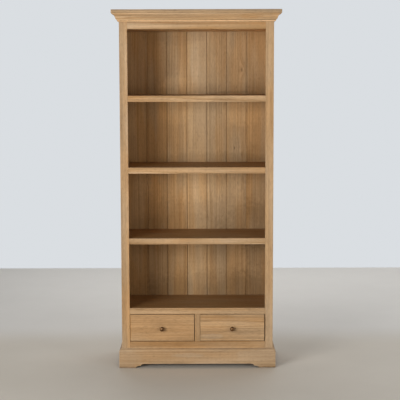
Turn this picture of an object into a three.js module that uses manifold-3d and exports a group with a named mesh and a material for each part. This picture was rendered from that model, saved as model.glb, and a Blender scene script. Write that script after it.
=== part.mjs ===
// A tall open bookcase in solid wood: a carcass with a face frame, three fixed shelves, a moulded
// cornice, a tongued and grooved back and a bracket plinth, over two dovetailed drawers.
// Lengths are millimetres. X runs across the front, Y from the front to the back and Z up.
// The origin is on the floor, under the middle of the overall box.

import * as THREE from "three";
import { mergeVertices } from "three/addons/utils/BufferGeometryUtils.js";
import Module from "manifold-3d";

const wasm = await Module();
wasm.setup();

// Driving dimensions of the whole case

const OVERALL_HEIGHT = 1900;
const CARCASS_WIDTH = 808;
const CARCASS_DEPTH = 380;
const SHELF_COUNT = 3;
const PLANK_COUNT = 7;

// Clearances

const JOINT_GAP = 0.3;
const DRAWER_GAP = 2.5;
const DRAWER_SIDE_PLAY = 1;
const DRAWER_BACK_CLEARANCE = 30;
const KICKER_GAP = 3;
const CUT_OVERRUN = 5;

// Carcass boards

const SIDE_THICKNESS = 18;
const SIDE_FLOOR_CLEARANCE = 25;
const SHELF_THICKNESS = 20;
const CEILING_THICKNESS = 18;
const BASE_THICKNESS = 20;
const HOUSING_DEPTH = 6;

// Face frame

const FRAME_THICKNESS = 22;
const STILE_WIDTH = 42;
const TOP_RAIL_HEIGHT = 81;
const BOTTOM_RAIL_HEIGHT = 80;
const BOTTOM_RAIL_SHOWN = 36.5;
const SHELF_RAIL_HEIGHT = 32;
const MUNTIN_WIDTH = 28;
const TENON_LENGTH = 18;
const TENON_THICKNESS = 8;
const TENON_SHOULDER = 6;
const MUNTIN_TENON_LENGTH = 10;

// Top board and cornice moulding

const TOP_THICKNESS = 19;
const TOP_OVERHANG = 39;
const CORNICE_HEIGHT = 41.5;
const CORNICE_FILLET_HEIGHT = 4;
const CORNICE_FILLET_STEP = 3;
const CORNICE_BEAD_HEIGHT = 6.5;
const CORNICE_BEAD_PROJECTION = 9.5;
const CORNICE_BEAD_ROUNDING = 3.5;
const OGEE_FOOT_PROJECTION = 10;
const OGEE_WAIST_PROJECTION = 19.5;
const OGEE_WAIST_HEIGHT = 16;
const OGEE_SWELL = 1.8;
const OGEE_HOLLOW = 2.5;
const ARC_STEPS = 8;

// Back planks

const PLANK_THICKNESS = 10;
const REBATE_WIDTH = 8;
const TONGUE_LENGTH = 5;
const TONGUE_THICKNESS = 3.6;
const VEE_SIZE = 2.5;
const BACK_RAIL_THICKNESS = 18;

// Plinth

const PLINTH_HEIGHT = 105;
const PLINTH_PROJECTION = 15;
const PLINTH_FILLET_HEIGHT = 3.5;
const PLINTH_FILLET_PROJECTION = 4;
const PLINTH_SLOPE_HEIGHT = 13.5;
const PLINTH_SLOPE_START = 5.5;
const PLINTH_SLOPE_SWELL = 2;
const FOOT_LENGTH = 88;
const ARCH_HEIGHT = 21.5;
const ARCH_COVE_LENGTH = 22.5;
const ARCH_COVE_FLAT = 4;
const CORNER_BLOCK_SIZE = 35;

// Drawers

const DRAWER_OPENING_HEIGHT = 148;
const DRAWER_FRONT_THICKNESS = 20;
const DRAWER_SIDE_THICKNESS = 12;
const DRAWER_BACK_THICKNESS = 12;
const DRAWER_BACK_INSET = 8;
const DRAWER_BACK_HOUSING = 4;
const DRAWER_BACK_DROP = 6;
const DRAWER_BOTTOM_THICKNESS = 6;
const DRAWER_BOTTOM_LIFT = 10;
const DRAWER_GROOVE_DEPTH = 6;
const DOVETAIL_COUNT = 3;
const DOVETAIL_LAP = 7;
const DOVETAIL_ROOT_WIDTH = 30;
const DOVETAIL_FLARE = 2.5;
const GUIDE_HEIGHT = 40;
const KICKER_WIDTH = 44;
const CENTRE_KICKER_WIDTH = 20;
const STOP_WIDTH = 40;
const STOP_DEPTH = 16;
const STOP_HEIGHT = 6.5;

// Knobs and their screws

const KNOB_RADIUS = 12;
const KNOB_LENGTH = 25;
const KNOB_DROP = 4.5;
const KNOB_BASE_RADIUS = 9;
const KNOB_BASE_LENGTH = 3;
const KNOB_NECK_RADIUS = 5;
const KNOB_NECK_LENGTH = 7;
const KNOB_BORE_RADIUS = 2.4;
const KNOB_BORE_LENGTH = 11;
const KNOB_SIDES = 32;
const KNOB_ARC_STEPS = 9;
const SCREW_RADIUS = 2;
const SCREW_HEAD_RADIUS = 4.5;
const SCREW_HEAD_LENGTH = 2.4;
const SCREW_SLOT_WIDTH = 1.1;
const SCREW_SLOT_DEPTH = 1.2;
const SCREW_SIDES = 20;
const SCREW_CLEARANCE = 0.6;

// Places across the width

const carcassSide = CARCASS_WIDTH / 2;
const innerSide = carcassSide - SIDE_THICKNESS;
const stileInner = carcassSide - STILE_WIDTH;
const muntinSide = MUNTIN_WIDTH / 2;
const drawerOpeningWidth = stileInner - muntinSide;

// Places from front to back

const backFace = (CARCASS_DEPTH + TOP_OVERHANG) / 2;
const frontFace = backFace - CARCASS_DEPTH;
const frameBack = frontFace + FRAME_THICKNESS;
const plankFace = backFace - PLANK_THICKNESS;
const boardDepth = [frameBack + JOINT_GAP, plankFace - JOINT_GAP];

// Heights

const topUnderside = OVERALL_HEIGHT - TOP_THICKNESS;
const caseTop = topUnderside - JOINT_GAP;
const ceilingUnderside = topUnderside - TOP_RAIL_HEIGHT;
const drawerFloor = PLINTH_HEIGHT + BOTTOM_RAIL_SHOWN;
const drawerCeiling = drawerFloor + DRAWER_OPENING_HEIGHT;
const openFloor = drawerCeiling + SHELF_RAIL_HEIGHT;
const baseUnderside = drawerFloor - BASE_THICKNESS;
const openHeight = ceilingUnderside - openFloor;
const compartmentHeight = (openHeight - SHELF_COUNT * SHELF_RAIL_HEIGHT) / (SHELF_COUNT + 1);
const shelfPitch = compartmentHeight + SHELF_RAIL_HEIGHT;

// Finishes

const faceWood = wood(0xb08d67, 0.55);
const mouldingWood = wood(0xab8861, 0.55);
const shelfWood = wood(0x9c7a56, 0.6);
const backWood = wood(0x94744f, 0.65);
const drawerWood = wood(0xc2a57c, 0.7);
const knobBronze = new THREE.MeshStandardMaterial({ color: 0x543a22, roughness: 0.4, metalness: 0.9 });
const screwSteel = new THREE.MeshStandardMaterial({ color: 0xa8a8a4, roughness: 0.35, metalness: 1 });

function wood(color, roughness) {
  return new THREE.MeshStandardMaterial({ color, roughness, metalness: 0 });
}

// Solids

function toSolid(geometry) {
  geometry.deleteAttribute("normal");
  geometry.deleteAttribute("uv");
  const merged = mergeVertices(geometry);
  return new wasm.Manifold(
    new wasm.Mesh({
      numProp: 3,
      vertProperties: new Float32Array(merged.attributes.position.array),
      triVerts: new Uint32Array(merged.index.array),
    }),
  );
}

function toMesh(name, solid, material) {
  const cut = solid.getMesh();
  const geometry = new THREE.BufferGeometry();
  geometry.setAttribute("position", new THREE.BufferAttribute(cut.vertProperties, cut.numProp));
  geometry.setIndex(new THREE.BufferAttribute(cut.triVerts, 1));
  geometry.computeVertexNormals();
  const mesh = new THREE.Mesh(geometry, material);
  mesh.name = name;
  return mesh;
}

// A box between two places along each axis, given in either order.
function block(alongX, alongY, alongZ) {
  const size = [alongX, alongY, alongZ].map(([from, to]) => Math.abs(to - from));
  const middle = [alongX, alongY, alongZ].map(([from, to]) => (from + to) / 2);
  const geometry = new THREE.BoxGeometry(...size);
  geometry.translate(...middle);
  return toSolid(geometry);
}

// A prism of an outline. Its points are (Y, Z) along X, (X, Z) along Y or (X, Y) along Z.
function prism(points, axis, [from, to]) {
  const shape = new THREE.Shape(points.map(([a, b]) => new THREE.Vector2(a, b)));
  const geometry = new THREE.ExtrudeGeometry(shape, { depth: to - from, bevelEnabled: false });
  const unit = [0, 1, 2].map((i) => new THREE.Vector3().setComponent(i, 1));
  const basis = new THREE.Matrix4();
  if (axis === "x") {
    basis.makeBasis(unit[1], unit[2], unit[0]);
    geometry.applyMatrix4(basis).translate(from, 0, 0);
  }
  if (axis === "y") {
    basis.makeBasis(unit[0], unit[2], unit[1].clone().negate());
    geometry.applyMatrix4(basis).translate(0, to, 0);
  }
  if (axis === "z") {
    geometry.translate(0, 0, from);
  }
  return toSolid(geometry);
}

// A turned solid whose axis runs along Y. Its profile holds [radius, distance along +Y] points
// and starts and ends on the axis.
function turned(profile, sides) {
  const points = profile.map(([radius, along]) => new THREE.Vector2(radius, along));
  return toSolid(new THREE.LatheGeometry(points, sides));
}

// Points of an elliptical arc round a centre, with its angles in quarter turns.
function arc([a, b], [radiusA, radiusB], fromQuarter, toQuarter, steps) {
  return Array.from({ length: steps + 1 }, (_, i) => {
    const angle = ((fromQuarter + ((toQuarter - fromQuarter) * i) / steps) * Math.PI) / 2;
    return [a + radiusA * Math.cos(angle), b + radiusB * Math.sin(angle)];
  });
}

// Points of a shallow curve between two places, bowed to the left of its way by a depth.
function bowed([startA, startB], [endA, endB], depth, steps) {
  const runA = endA - startA;
  const runB = endB - startB;
  const reach = Math.hypot(runA, runB);
  return Array.from({ length: steps + 1 }, (_, i) => {
    const share = i / steps;
    const aside = (4 * depth * share * (1 - share)) / reach;
    return [startA + runA * share - runB * aside, startB + runB * share + runA * aside];
  });
}

// Carcass

const carcass = new THREE.Group();
carcass.name = "carcass";

const add = (name, solid, material) => carcass.add(toMesh(name, solid, material));

const sides = [
  ["left", -1],
  ["right", 1],
];

const shelfTops = Array.from({ length: SHELF_COUNT }, (_, i) => openFloor + shelfPitch * (i + 1));

const housedBoards = [
  { name: "base_board", top: drawerFloor, thickness: BASE_THICKNESS },
  { name: "compartment_floor", top: openFloor, thickness: SHELF_THICKNESS },
  ...shelfTops.map((top, i) => ({ name: `shelf_${i + 1}`, top, thickness: SHELF_THICKNESS })),
  { name: "ceiling_panel", top: ceilingUnderside + CEILING_THICKNESS, thickness: CEILING_THICKNESS },
];

// Each side panel is housed for every board and rebated along its back edge for the planks.
function sidePanel(side) {
  const housedTo = innerSide + HOUSING_DEPTH;
  const depth = [frameBack + JOINT_GAP, backFace];
  let panel = block([side * innerSide, side * carcassSide], depth, [SIDE_FLOOR_CLEARANCE, caseTop]);
  const rebate = block(
    [side * (innerSide - CUT_OVERRUN), side * (innerSide + REBATE_WIDTH)],
    [plankFace - JOINT_GAP, backFace + CUT_OVERRUN],
    [0, OVERALL_HEIGHT],
  );
  panel = panel.subtract(rebate);
  for (const board of housedBoards) {
    const housing = block(
      [side * (innerSide - CUT_OVERRUN), side * housedTo],
      [frontFace, plankFace],
      [board.top - board.thickness - JOINT_GAP, board.top + JOINT_GAP],
    );
    panel = panel.subtract(housing);
  }
  return panel;
}

for (const [hand, side] of sides) {
  add(`side_panel_${hand}`, sidePanel(side), faceWood);
}

const housedEnd = innerSide + HOUSING_DEPTH - JOINT_GAP;
for (const board of housedBoards) {
  const height = [board.top - board.thickness, board.top];
  add(board.name, block([-housedEnd, housedEnd], boardDepth, height), shelfWood);
}

// Face frame: stiles and rails with blind tenons, and a muntin between the drawers

const tenonDepth = [
  frontFace + (FRAME_THICKNESS - TENON_THICKNESS) / 2,
  frontFace + (FRAME_THICKNESS + TENON_THICKNESS) / 2,
];
const mortiseDepth = [tenonDepth[0] - JOINT_GAP, tenonDepth[1] + JOINT_GAP];
const frameDepth = [frontFace, frameBack];

const framedRails = [
  { name: "top_rail", height: [ceilingUnderside, caseTop] },
  { name: "drawer_rail", height: [drawerCeiling, openFloor] },
  { name: "bottom_rail", height: [drawerFloor - BOTTOM_RAIL_HEIGHT, drawerFloor] },
];

const tenonHeight = ([low, high]) => [low + TENON_SHOULDER, high - TENON_SHOULDER];
const mortiseHeight = ([low, high]) => [
  low + TENON_SHOULDER - JOINT_GAP,
  high - TENON_SHOULDER + JOINT_GAP,
];

function stile(side) {
  let solid = block([side * stileInner, side * carcassSide], frameDepth, [SIDE_FLOOR_CLEARANCE, caseTop]);
  for (const rail of framedRails) {
    const mortise = block(
      [side * (stileInner - CUT_OVERRUN), side * (stileInner + TENON_LENGTH + JOINT_GAP)],
      mortiseDepth,
      mortiseHeight(rail.height),
    );
    solid = solid.subtract(mortise);
  }
  return solid;
}

const railEnd = stileInner - JOINT_GAP;
const muntinTenonSide = muntinSide - TENON_SHOULDER;

// The drawer rail and the bottom rail are also mortised for the muntin's tenons.
function framedRail({ name, height }) {
  const tenonEnd = stileInner + TENON_LENGTH;
  const muntinSocketSide = muntinTenonSide + JOINT_GAP;
  let solid = block([-railEnd, railEnd], frameDepth, height);
  solid = solid.add(block([-tenonEnd, tenonEnd], tenonDepth, tenonHeight(height)));
  if (name !== "top_rail") {
    const atMuntin = name === "drawer_rail" ? drawerCeiling : drawerFloor;
    const socket = block([-muntinSocketSide, muntinSocketSide], mortiseDepth, [
      atMuntin - MUNTIN_TENON_LENGTH - JOINT_GAP,
      atMuntin + MUNTIN_TENON_LENGTH + JOINT_GAP,
    ]);
    solid = solid.subtract(socket);
  }
  return solid;
}

for (const [hand, side] of sides) {
  add(`stile_${hand}`, stile(side), faceWood);
}
for (const rail of framedRails) {
  add(rail.name, framedRail(rail), faceWood);
}

const muntinHeight = [drawerFloor + JOINT_GAP, drawerCeiling - JOINT_GAP];
const muntinTenons = block([-muntinTenonSide, muntinTenonSide], tenonDepth, [
  drawerFloor - MUNTIN_TENON_LENGTH,
  drawerCeiling + MUNTIN_TENON_LENGTH,
]);
add("drawer_muntin", block([-muntinSide, muntinSide], frameDepth, muntinHeight).add(muntinTenons), faceWood);

shelfTops.forEach((top, i) => {
  const height = [top - SHELF_RAIL_HEIGHT, top];
  add(`shelf_rail_${i + 1}`, block([-railEnd, railEnd], frameDepth, height), faceWood);
});

// Drawer running gear: a divider, guides beside the drawers, kickers over them and stops

const kickerHeight = [drawerCeiling, openFloor - SHELF_THICKNESS - JOINT_GAP];
const dividerHeight = [drawerFloor + JOINT_GAP, openFloor - SHELF_THICKNESS - JOINT_GAP];
const guideHeight = [drawerFloor + JOINT_GAP, drawerFloor + GUIDE_HEIGHT];
const packed = innerSide - JOINT_GAP;
const dividerPacked = muntinSide + JOINT_GAP;

add("drawer_divider", block([-muntinSide, muntinSide], boardDepth, dividerHeight), shelfWood);
for (const [hand, side] of sides) {
  const guide = block([side * stileInner, side * packed], boardDepth, guideHeight);
  const outer = block([side * (packed - KICKER_WIDTH), side * packed], boardDepth, kickerHeight);
  const inner = block(
    [side * dividerPacked, side * (dividerPacked + CENTRE_KICKER_WIDTH)],
    boardDepth,
    kickerHeight,
  );
  add(`drawer_guide_${hand}`, guide, drawerWood);
  add(`outer_kicker_${hand}`, outer, drawerWood);
  add(`inner_kicker_${hand}`, inner, drawerWood);
}

const drawerCentre = muntinSide + drawerOpeningWidth / 2;
const stopFront = frontFace + DRAWER_FRONT_THICKNESS + JOINT_GAP;
for (const [hand, side] of sides) {
  const stop = block(
    [side * drawerCentre - STOP_WIDTH / 2, side * drawerCentre + STOP_WIDTH / 2],
    [stopFront, stopFront + STOP_DEPTH],
    [drawerFloor + JOINT_GAP, drawerFloor + JOINT_GAP + STOP_HEIGHT],
  );
  add(`drawer_stop_${hand}`, stop, drawerWood);
}

// Back: vertical planks, each with a tongue on its right edge and a groove on its left one, and
// a rail behind the base that they are nailed to

const backSide = innerSide + REBATE_WIDTH - JOINT_GAP;
const plankPitch = (2 * innerSide) / PLANK_COUNT;
const tongueFront = (plankFace + backFace - TONGUE_THICKNESS) / 2;
const tongueBack = tongueFront + TONGUE_THICKNESS;

function plankEdge(i) {
  if (i === 0) return -backSide;
  if (i === PLANK_COUNT) return backSide;
  return -innerSide + plankPitch * i;
}

function plank(i) {
  const isFirst = i === 0;
  const isLast = i === PLANK_COUNT - 1;
  const left = plankEdge(i) + (isFirst ? 0 : JOINT_GAP / 2);
  const right = plankEdge(i + 1) - (isLast ? 0 : JOINT_GAP / 2);
  const leftVee = isFirst ? 0 : VEE_SIZE;
  const rightVee = isLast ? 0 : VEE_SIZE;
  const tongueEnd = right + TONGUE_LENGTH;
  const grooveEnd = left + TONGUE_LENGTH + 2 * JOINT_GAP;
  const tongue = [
    [right, tongueFront],
    [tongueEnd, tongueFront],
    [tongueEnd, tongueBack],
    [right, tongueBack],
  ];
  const groove = [
    [left, tongueBack + JOINT_GAP],
    [grooveEnd, tongueBack + JOINT_GAP],
    [grooveEnd, tongueFront - JOINT_GAP],
    [left, tongueFront - JOINT_GAP],
  ];
  const outline = [
    [left + leftVee, plankFace],
    [right - rightVee, plankFace],
    ...(isLast ? [] : [[right, plankFace + VEE_SIZE], ...tongue]),
    [right, backFace],
    [left, backFace],
    ...(isFirst ? [] : [...groove, [left, plankFace + VEE_SIZE]]),
  ];
  return prism(outline, "z", [SIDE_FLOOR_CLEARANCE, caseTop]);
}

for (let i = 0; i < PLANK_COUNT; i += 1) {
  add(`back_plank_${i + 1}`, plank(i), backWood);
}

const backRailDepth = [plankFace - JOINT_GAP - BACK_RAIL_THICKNESS, plankFace - JOINT_GAP];
const underBase = [SIDE_FLOOR_CLEARANCE, baseUnderside - JOINT_GAP];
add("back_rail", block([-packed, packed], backRailDepth, underBase), backWood);

// Mouldings that run round the front and both sides of the case, mitred at the front corners.
// A profile holds [projection from the carcass, height] points. Run 0 is the front, and runs -1
// and 1 are the left and right sides.

function mouldingRun(run, profile) {
  const reach = Math.max(...profile.map(([projection]) => projection));
  const mitreGap = JOINT_GAP * Math.SQRT2;
  const fullHeight = [0, OVERALL_HEIGHT];
  if (run === 0) {
    const outline = profile.map(([projection, height]) => [frontFace - projection, height]);
    const end = carcassSide + reach;
    const keep = [
      [-carcassSide + mitreGap, frontFace],
      [carcassSide - mitreGap, frontFace],
      [end - mitreGap, frontFace - reach],
      [-end + mitreGap, frontFace - reach],
    ];
    return prism(outline, "x", [-end, end]).intersect(prism(keep, "z", fullHeight));
  }
  const outline = profile.map(([projection, height]) => [run * (carcassSide + projection), height]);
  const keep = [
    [run * carcassSide, frontFace],
    [run * (carcassSide + reach), frontFace - reach],
    [run * (carcassSide + reach), backFace],
    [run * carcassSide, backFace],
  ];
  return prism(outline, "y", [frontFace - reach, backFace]).intersect(prism(keep, "z", fullHeight));
}

const runs = [
  ["front", 0],
  ["left", -1],
  ["right", 1],
];

// Top board and cornice: a fillet under the board, a shallow ogee and a bead

const corniceBottom = topUnderside - CORNICE_HEIGHT;
const beadRadii = [CORNICE_BEAD_ROUNDING, CORNICE_BEAD_HEIGHT / 2];
const beadCentre = [CORNICE_BEAD_PROJECTION - CORNICE_BEAD_ROUNDING, corniceBottom + beadRadii[1]];
const ogeeFoot = [OGEE_FOOT_PROJECTION, corniceBottom + CORNICE_BEAD_HEIGHT];
const ogeeWaist = [OGEE_WAIST_PROJECTION, ogeeFoot[1] + OGEE_WAIST_HEIGHT];
const ogeeTop = [TOP_OVERHANG - CORNICE_FILLET_STEP, topUnderside - CORNICE_FILLET_HEIGHT];

const corniceProfile = [
  [JOINT_GAP, corniceBottom],
  ...arc(beadCentre, beadRadii, 3, 5, ARC_STEPS),
  ...bowed(ogeeFoot, ogeeWaist, -OGEE_SWELL, ARC_STEPS),
  ...bowed(ogeeWaist, ogeeTop, OGEE_HOLLOW, ARC_STEPS).slice(1),
  [ogeeTop[0], caseTop],
  [JOINT_GAP, caseTop],
];

const topSide = carcassSide + TOP_OVERHANG;
const topDepth = [frontFace - TOP_OVERHANG, backFace];
add("top_board", block([-topSide, topSide], topDepth, [topUnderside, OVERALL_HEIGHT]), mouldingWood);
for (const [hand, run] of runs) {
  add(`cornice_${hand}`, mouldingRun(run, corniceProfile), mouldingWood);
}

// Plinth: moulded boards on bracket feet, with an arch between two feet on each side

const plinthSlopeTop = PLINTH_HEIGHT - PLINTH_FILLET_HEIGHT;
const plinthProfile = [
  [JOINT_GAP, 0],
  [PLINTH_PROJECTION, 0],
  ...bowed(
    [PLINTH_PROJECTION, plinthSlopeTop - PLINTH_SLOPE_HEIGHT],
    [PLINTH_SLOPE_START, plinthSlopeTop],
    -PLINTH_SLOPE_SWELL,
    ARC_STEPS,
  ),
  [PLINTH_FILLET_PROJECTION, plinthSlopeTop],
  [PLINTH_FILLET_PROJECTION, PLINTH_HEIGHT],
  [JOINT_GAP, PLINTH_HEIGHT],
];

// The arch rises from each foot in two coves with a short flat between them.
function archOutline(from, to) {
  const rise = ARCH_HEIGHT / 2;
  const outerStart = FOOT_LENGTH;
  const innerStart = outerStart + ARCH_COVE_LENGTH + ARCH_COVE_FLAT;
  const foot = [
    [outerStart, -CUT_OVERRUN],
    ...arc([outerStart + ARCH_COVE_LENGTH, 0], [ARCH_COVE_LENGTH, rise], 2, 1, ARC_STEPS),
    ...arc([innerStart + ARCH_COVE_LENGTH, rise], [ARCH_COVE_LENGTH, rise], 2, 1, ARC_STEPS),
  ];
  const near = foot.map(([along, height]) => [from + along, height]);
  const far = foot.map(([along, height]) => [to - along, height]).reverse();
  return [...near, ...far];
}

const plinthSide = carcassSide + PLINTH_PROJECTION;
const plinthFront = frontFace - PLINTH_PROJECTION;
for (const [hand, run] of runs) {
  const board = mouldingRun(run, plinthProfile);
  const arch =
    run === 0
      ? prism(archOutline(-plinthSide, plinthSide), "y", [plinthFront - CUT_OVERRUN, frontFace])
      : prism(archOutline(plinthFront, backFace), "x", [-plinthSide - CUT_OVERRUN, plinthSide + CUT_OVERRUN]);
  add(`plinth_${hand}`, board.subtract(arch), mouldingWood);
}

const blockSide = [packed - CORNER_BLOCK_SIZE, packed];
const blockHeight = [0, baseUnderside - JOINT_GAP];
const blockEnds = [
  ["front", [boardDepth[0], boardDepth[0] + CORNER_BLOCK_SIZE]],
  ["back", [backRailDepth[0] - JOINT_GAP - CORNER_BLOCK_SIZE, backRailDepth[0] - JOINT_GAP]],
];
for (const [end, depth] of blockEnds) {
  for (const [hand, side] of sides) {
    const across = blockSide.map((place) => side * place);
    add(`corner_block_${end}_${hand}`, block(across, depth, blockHeight), drawerWood);
  }
}

// Drawers: each is built round its own centre line and then placed in its opening

const drawerSide = drawerOpeningWidth / 2 - DRAWER_GAP;
const drawerInner = drawerSide - DRAWER_SIDE_THICKNESS;
const drawerFrontBack = frontFace + DRAWER_FRONT_THICKNESS;
const drawerEnd = plankFace - DRAWER_BACK_CLEARANCE;
const drawerFrontHeight = [drawerFloor + DRAWER_GAP, drawerCeiling - DRAWER_GAP];
const drawerSideHeight = [drawerFloor + JOINT_GAP, drawerCeiling - KICKER_GAP];
const bottomUnderside = drawerSideHeight[0] + DRAWER_BOTTOM_LIFT;
const bottomTop = bottomUnderside + DRAWER_BOTTOM_THICKNESS;
const drawerBackDepth = [
  drawerEnd - DRAWER_BACK_INSET - DRAWER_BACK_THICKNESS,
  drawerEnd - DRAWER_BACK_INSET,
];
const knobHeight = (drawerFloor + drawerCeiling) / 2 - KNOB_DROP;
const dovetailPitch = (drawerFrontHeight[1] - drawerFrontHeight[0]) / DOVETAIL_COUNT;
const tailEnd = frontFace + DOVETAIL_LAP;

// The half-blind tails of one drawer side, widened by a gap where they stand for the sockets.
function dovetails(alongX, gap) {
  const rootSide = DOVETAIL_ROOT_WIDTH / 2 + gap;
  const endSide = rootSide + DOVETAIL_FLARE;
  const root = drawerFrontBack + CUT_OVERRUN;
  const end = tailEnd + JOINT_GAP - gap;
  const tails = Array.from({ length: DOVETAIL_COUNT }, (_, i) => {
    const middle = drawerFrontHeight[0] + dovetailPitch * (i + 1 / 2);
    const outline = [
      [end, middle - endSide],
      [drawerFrontBack, middle - rootSide],
      [root, middle - rootSide],
      [root, middle + rootSide],
      [drawerFrontBack, middle + rootSide],
      [end, middle + endSide],
    ];
    return prism(outline, "x", alongX);
  });
  return tails.reduce((all, tail) => all.add(tail));
}

const bottomGrooveHeight = [bottomUnderside - JOINT_GAP, bottomTop + JOINT_GAP];

function drawerFront() {
  const across = [-drawerSide, drawerSide];
  const grooveSide = drawerInner + DRAWER_GROOVE_DEPTH;
  const grooveDepth = [drawerFrontBack - DRAWER_GROOVE_DEPTH, drawerFrontBack + CUT_OVERRUN];
  const screwHole = turned(
    [
      [0, frontFace - CUT_OVERRUN],
      [SCREW_RADIUS + SCREW_CLEARANCE, frontFace - CUT_OVERRUN],
      [SCREW_RADIUS + SCREW_CLEARANCE, drawerFrontBack + CUT_OVERRUN],
      [0, drawerFrontBack + CUT_OVERRUN],
    ],
    SCREW_SIDES,
  ).translate([0, 0, knobHeight]);
  return block(across, [frontFace, drawerFrontBack], drawerFrontHeight)
    .subtract(block([-grooveSide, grooveSide], grooveDepth, bottomGrooveHeight))
    .subtract(dovetails([-drawerSide - CUT_OVERRUN, -drawerInner + JOINT_GAP], JOINT_GAP))
    .subtract(dovetails([drawerInner - JOINT_GAP, drawerSide + CUT_OVERRUN], JOINT_GAP))
    .subtract(screwHole);
}

function drawerSideBoard(side) {
  const across = side < 0 ? [-drawerSide, -drawerInner] : [drawerInner, drawerSide];
  const inner = side * (drawerInner - CUT_OVERRUN);
  const groove = block(
    [inner, side * (drawerInner + DRAWER_GROOVE_DEPTH)],
    [frontFace, drawerEnd + CUT_OVERRUN],
    bottomGrooveHeight,
  );
  const housing = block(
    [inner, side * (drawerInner + DRAWER_BACK_HOUSING)],
    [drawerBackDepth[0] - JOINT_GAP, drawerBackDepth[1] + JOINT_GAP],
    [bottomUnderside, drawerCeiling],
  );
  return block(across, [drawerFrontBack + JOINT_GAP, drawerEnd], drawerSideHeight)
    .add(dovetails(across, 0))
    .subtract(groove)
    .subtract(housing);
}

function drawerBack() {
  const end = drawerInner + DRAWER_BACK_HOUSING - JOINT_GAP;
  const height = [bottomTop + JOINT_GAP, drawerSideHeight[1] - DRAWER_BACK_DROP];
  return block([-end, end], drawerBackDepth, height);
}

function drawerBottom() {
  const end = drawerInner + DRAWER_GROOVE_DEPTH - JOINT_GAP;
  const front = drawerFrontBack - DRAWER_GROOVE_DEPTH + JOINT_GAP;
  return block([-end, end], [front, drawerBackDepth[1]], [bottomUnderside, bottomTop]);
}

// A turned knob: a flange on the drawer, a neck and a domed head, bored for its screw.
function knob() {
  const headStart = KNOB_BASE_LENGTH + KNOB_NECK_LENGTH;
  const headHalf = (KNOB_LENGTH - headStart) / 2;
  const profile = [
    [0, KNOB_LENGTH],
    ...arc([0, headStart + headHalf], [KNOB_RADIUS, headHalf], 1, -1 / 2, KNOB_ARC_STEPS).slice(1),
    [KNOB_NECK_RADIUS, headStart],
    [KNOB_NECK_RADIUS, KNOB_BASE_LENGTH],
    [KNOB_BASE_RADIUS, KNOB_BASE_LENGTH / 2],
    [KNOB_BASE_RADIUS, 0],
    [KNOB_BORE_RADIUS, 0],
    [KNOB_BORE_RADIUS, KNOB_BORE_LENGTH],
    [0, KNOB_BORE_LENGTH],
  ];
  const outward = profile.map(([radius, along]) => [radius, frontFace - JOINT_GAP - along]);
  return turned(outward, KNOB_SIDES).translate([0, 0, knobHeight]);
}

// The screw goes through the drawer front from inside and ends in the knob's bore.
function knobScrew() {
  const headFace = drawerFrontBack + JOINT_GAP;
  const headEnd = headFace + SCREW_HEAD_LENGTH;
  const tip = frontFace - KNOB_BORE_LENGTH;
  const body = turned(
    [
      [0, tip],
      [SCREW_RADIUS, tip],
      [SCREW_RADIUS, headFace],
      [SCREW_HEAD_RADIUS, headFace],
      [SCREW_HEAD_RADIUS, headFace + SCREW_HEAD_LENGTH / 2],
      [SCREW_HEAD_RADIUS - SCREW_CLEARANCE, headEnd],
      [0, headEnd],
    ],
    SCREW_SIDES,
  );
  const slotSide = SCREW_SLOT_WIDTH / 2;
  const slot = block(
    [-SCREW_HEAD_RADIUS - CUT_OVERRUN, SCREW_HEAD_RADIUS + CUT_OVERRUN],
    [headEnd - SCREW_SLOT_DEPTH, headEnd + CUT_OVERRUN],
    [-slotSide, slotSide],
  );
  return body.subtract(slot).translate([0, 0, knobHeight]);
}

function drawer(hand, side) {
  const group = new THREE.Group();
  group.name = `drawer_${hand}`;
  const pieces = [
    ["front", drawerFront(), faceWood],
    ["side_left", drawerSideBoard(-1), drawerWood],
    ["side_right", drawerSideBoard(1), drawerWood],
    ["back", drawerBack(), drawerWood],
    ["bottom", drawerBottom(), drawerWood],
    ["knob", knob(), knobBronze],
    ["knob_screw", knobScrew(), screwSteel],
  ];
  for (const [name, solid, material] of pieces) {
    group.add(toMesh(`${hand}_drawer_${name}`, solid, material));
  }
  group.position.x = side * drawerCentre - DRAWER_SIDE_PLAY;
  return group;
}

const bookcase = new THREE.Group();
bookcase.name = "bookcase";
bookcase.add(carcass);
for (const [hand, side] of sides) {
  bookcase.add(drawer(hand, side));
}

export default bookcase;
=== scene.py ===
"""Looks for a bookcase with bottom drawers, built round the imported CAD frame.

Laid out as an add-on and run as a script. One operator dresses or makes each piece or group of
like pieces, one sets the stage, and main() calls them in order.
"""

import math
import random

import bmesh
import bpy
from mathutils import Euler, Matrix, Vector


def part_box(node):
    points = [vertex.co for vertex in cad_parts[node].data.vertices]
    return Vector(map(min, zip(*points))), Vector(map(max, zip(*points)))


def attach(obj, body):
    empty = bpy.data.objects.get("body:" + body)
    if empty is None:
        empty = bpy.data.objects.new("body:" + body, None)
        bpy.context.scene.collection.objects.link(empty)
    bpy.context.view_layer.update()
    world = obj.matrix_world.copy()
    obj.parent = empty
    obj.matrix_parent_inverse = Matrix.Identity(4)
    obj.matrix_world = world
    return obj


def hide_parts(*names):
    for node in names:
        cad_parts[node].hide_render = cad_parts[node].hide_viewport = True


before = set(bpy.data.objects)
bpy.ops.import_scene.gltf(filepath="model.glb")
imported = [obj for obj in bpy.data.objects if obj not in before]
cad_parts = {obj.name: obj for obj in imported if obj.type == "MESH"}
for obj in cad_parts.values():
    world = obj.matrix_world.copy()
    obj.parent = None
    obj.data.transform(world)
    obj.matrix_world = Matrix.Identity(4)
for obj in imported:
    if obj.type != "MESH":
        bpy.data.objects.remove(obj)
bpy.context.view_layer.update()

bl_info = {
    "name": "Bookcase with bottom drawers",
    "version": (1, 0, 0),
    "blender": (4, 5, 0),
    "location": "3D View > Sidebar > Bookcase",
    "description": "Dresses the CAD frame of a waxed wood bookcase with two drawers",
    "category": "Object",
}

MM = 0.001


# Settings


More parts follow.
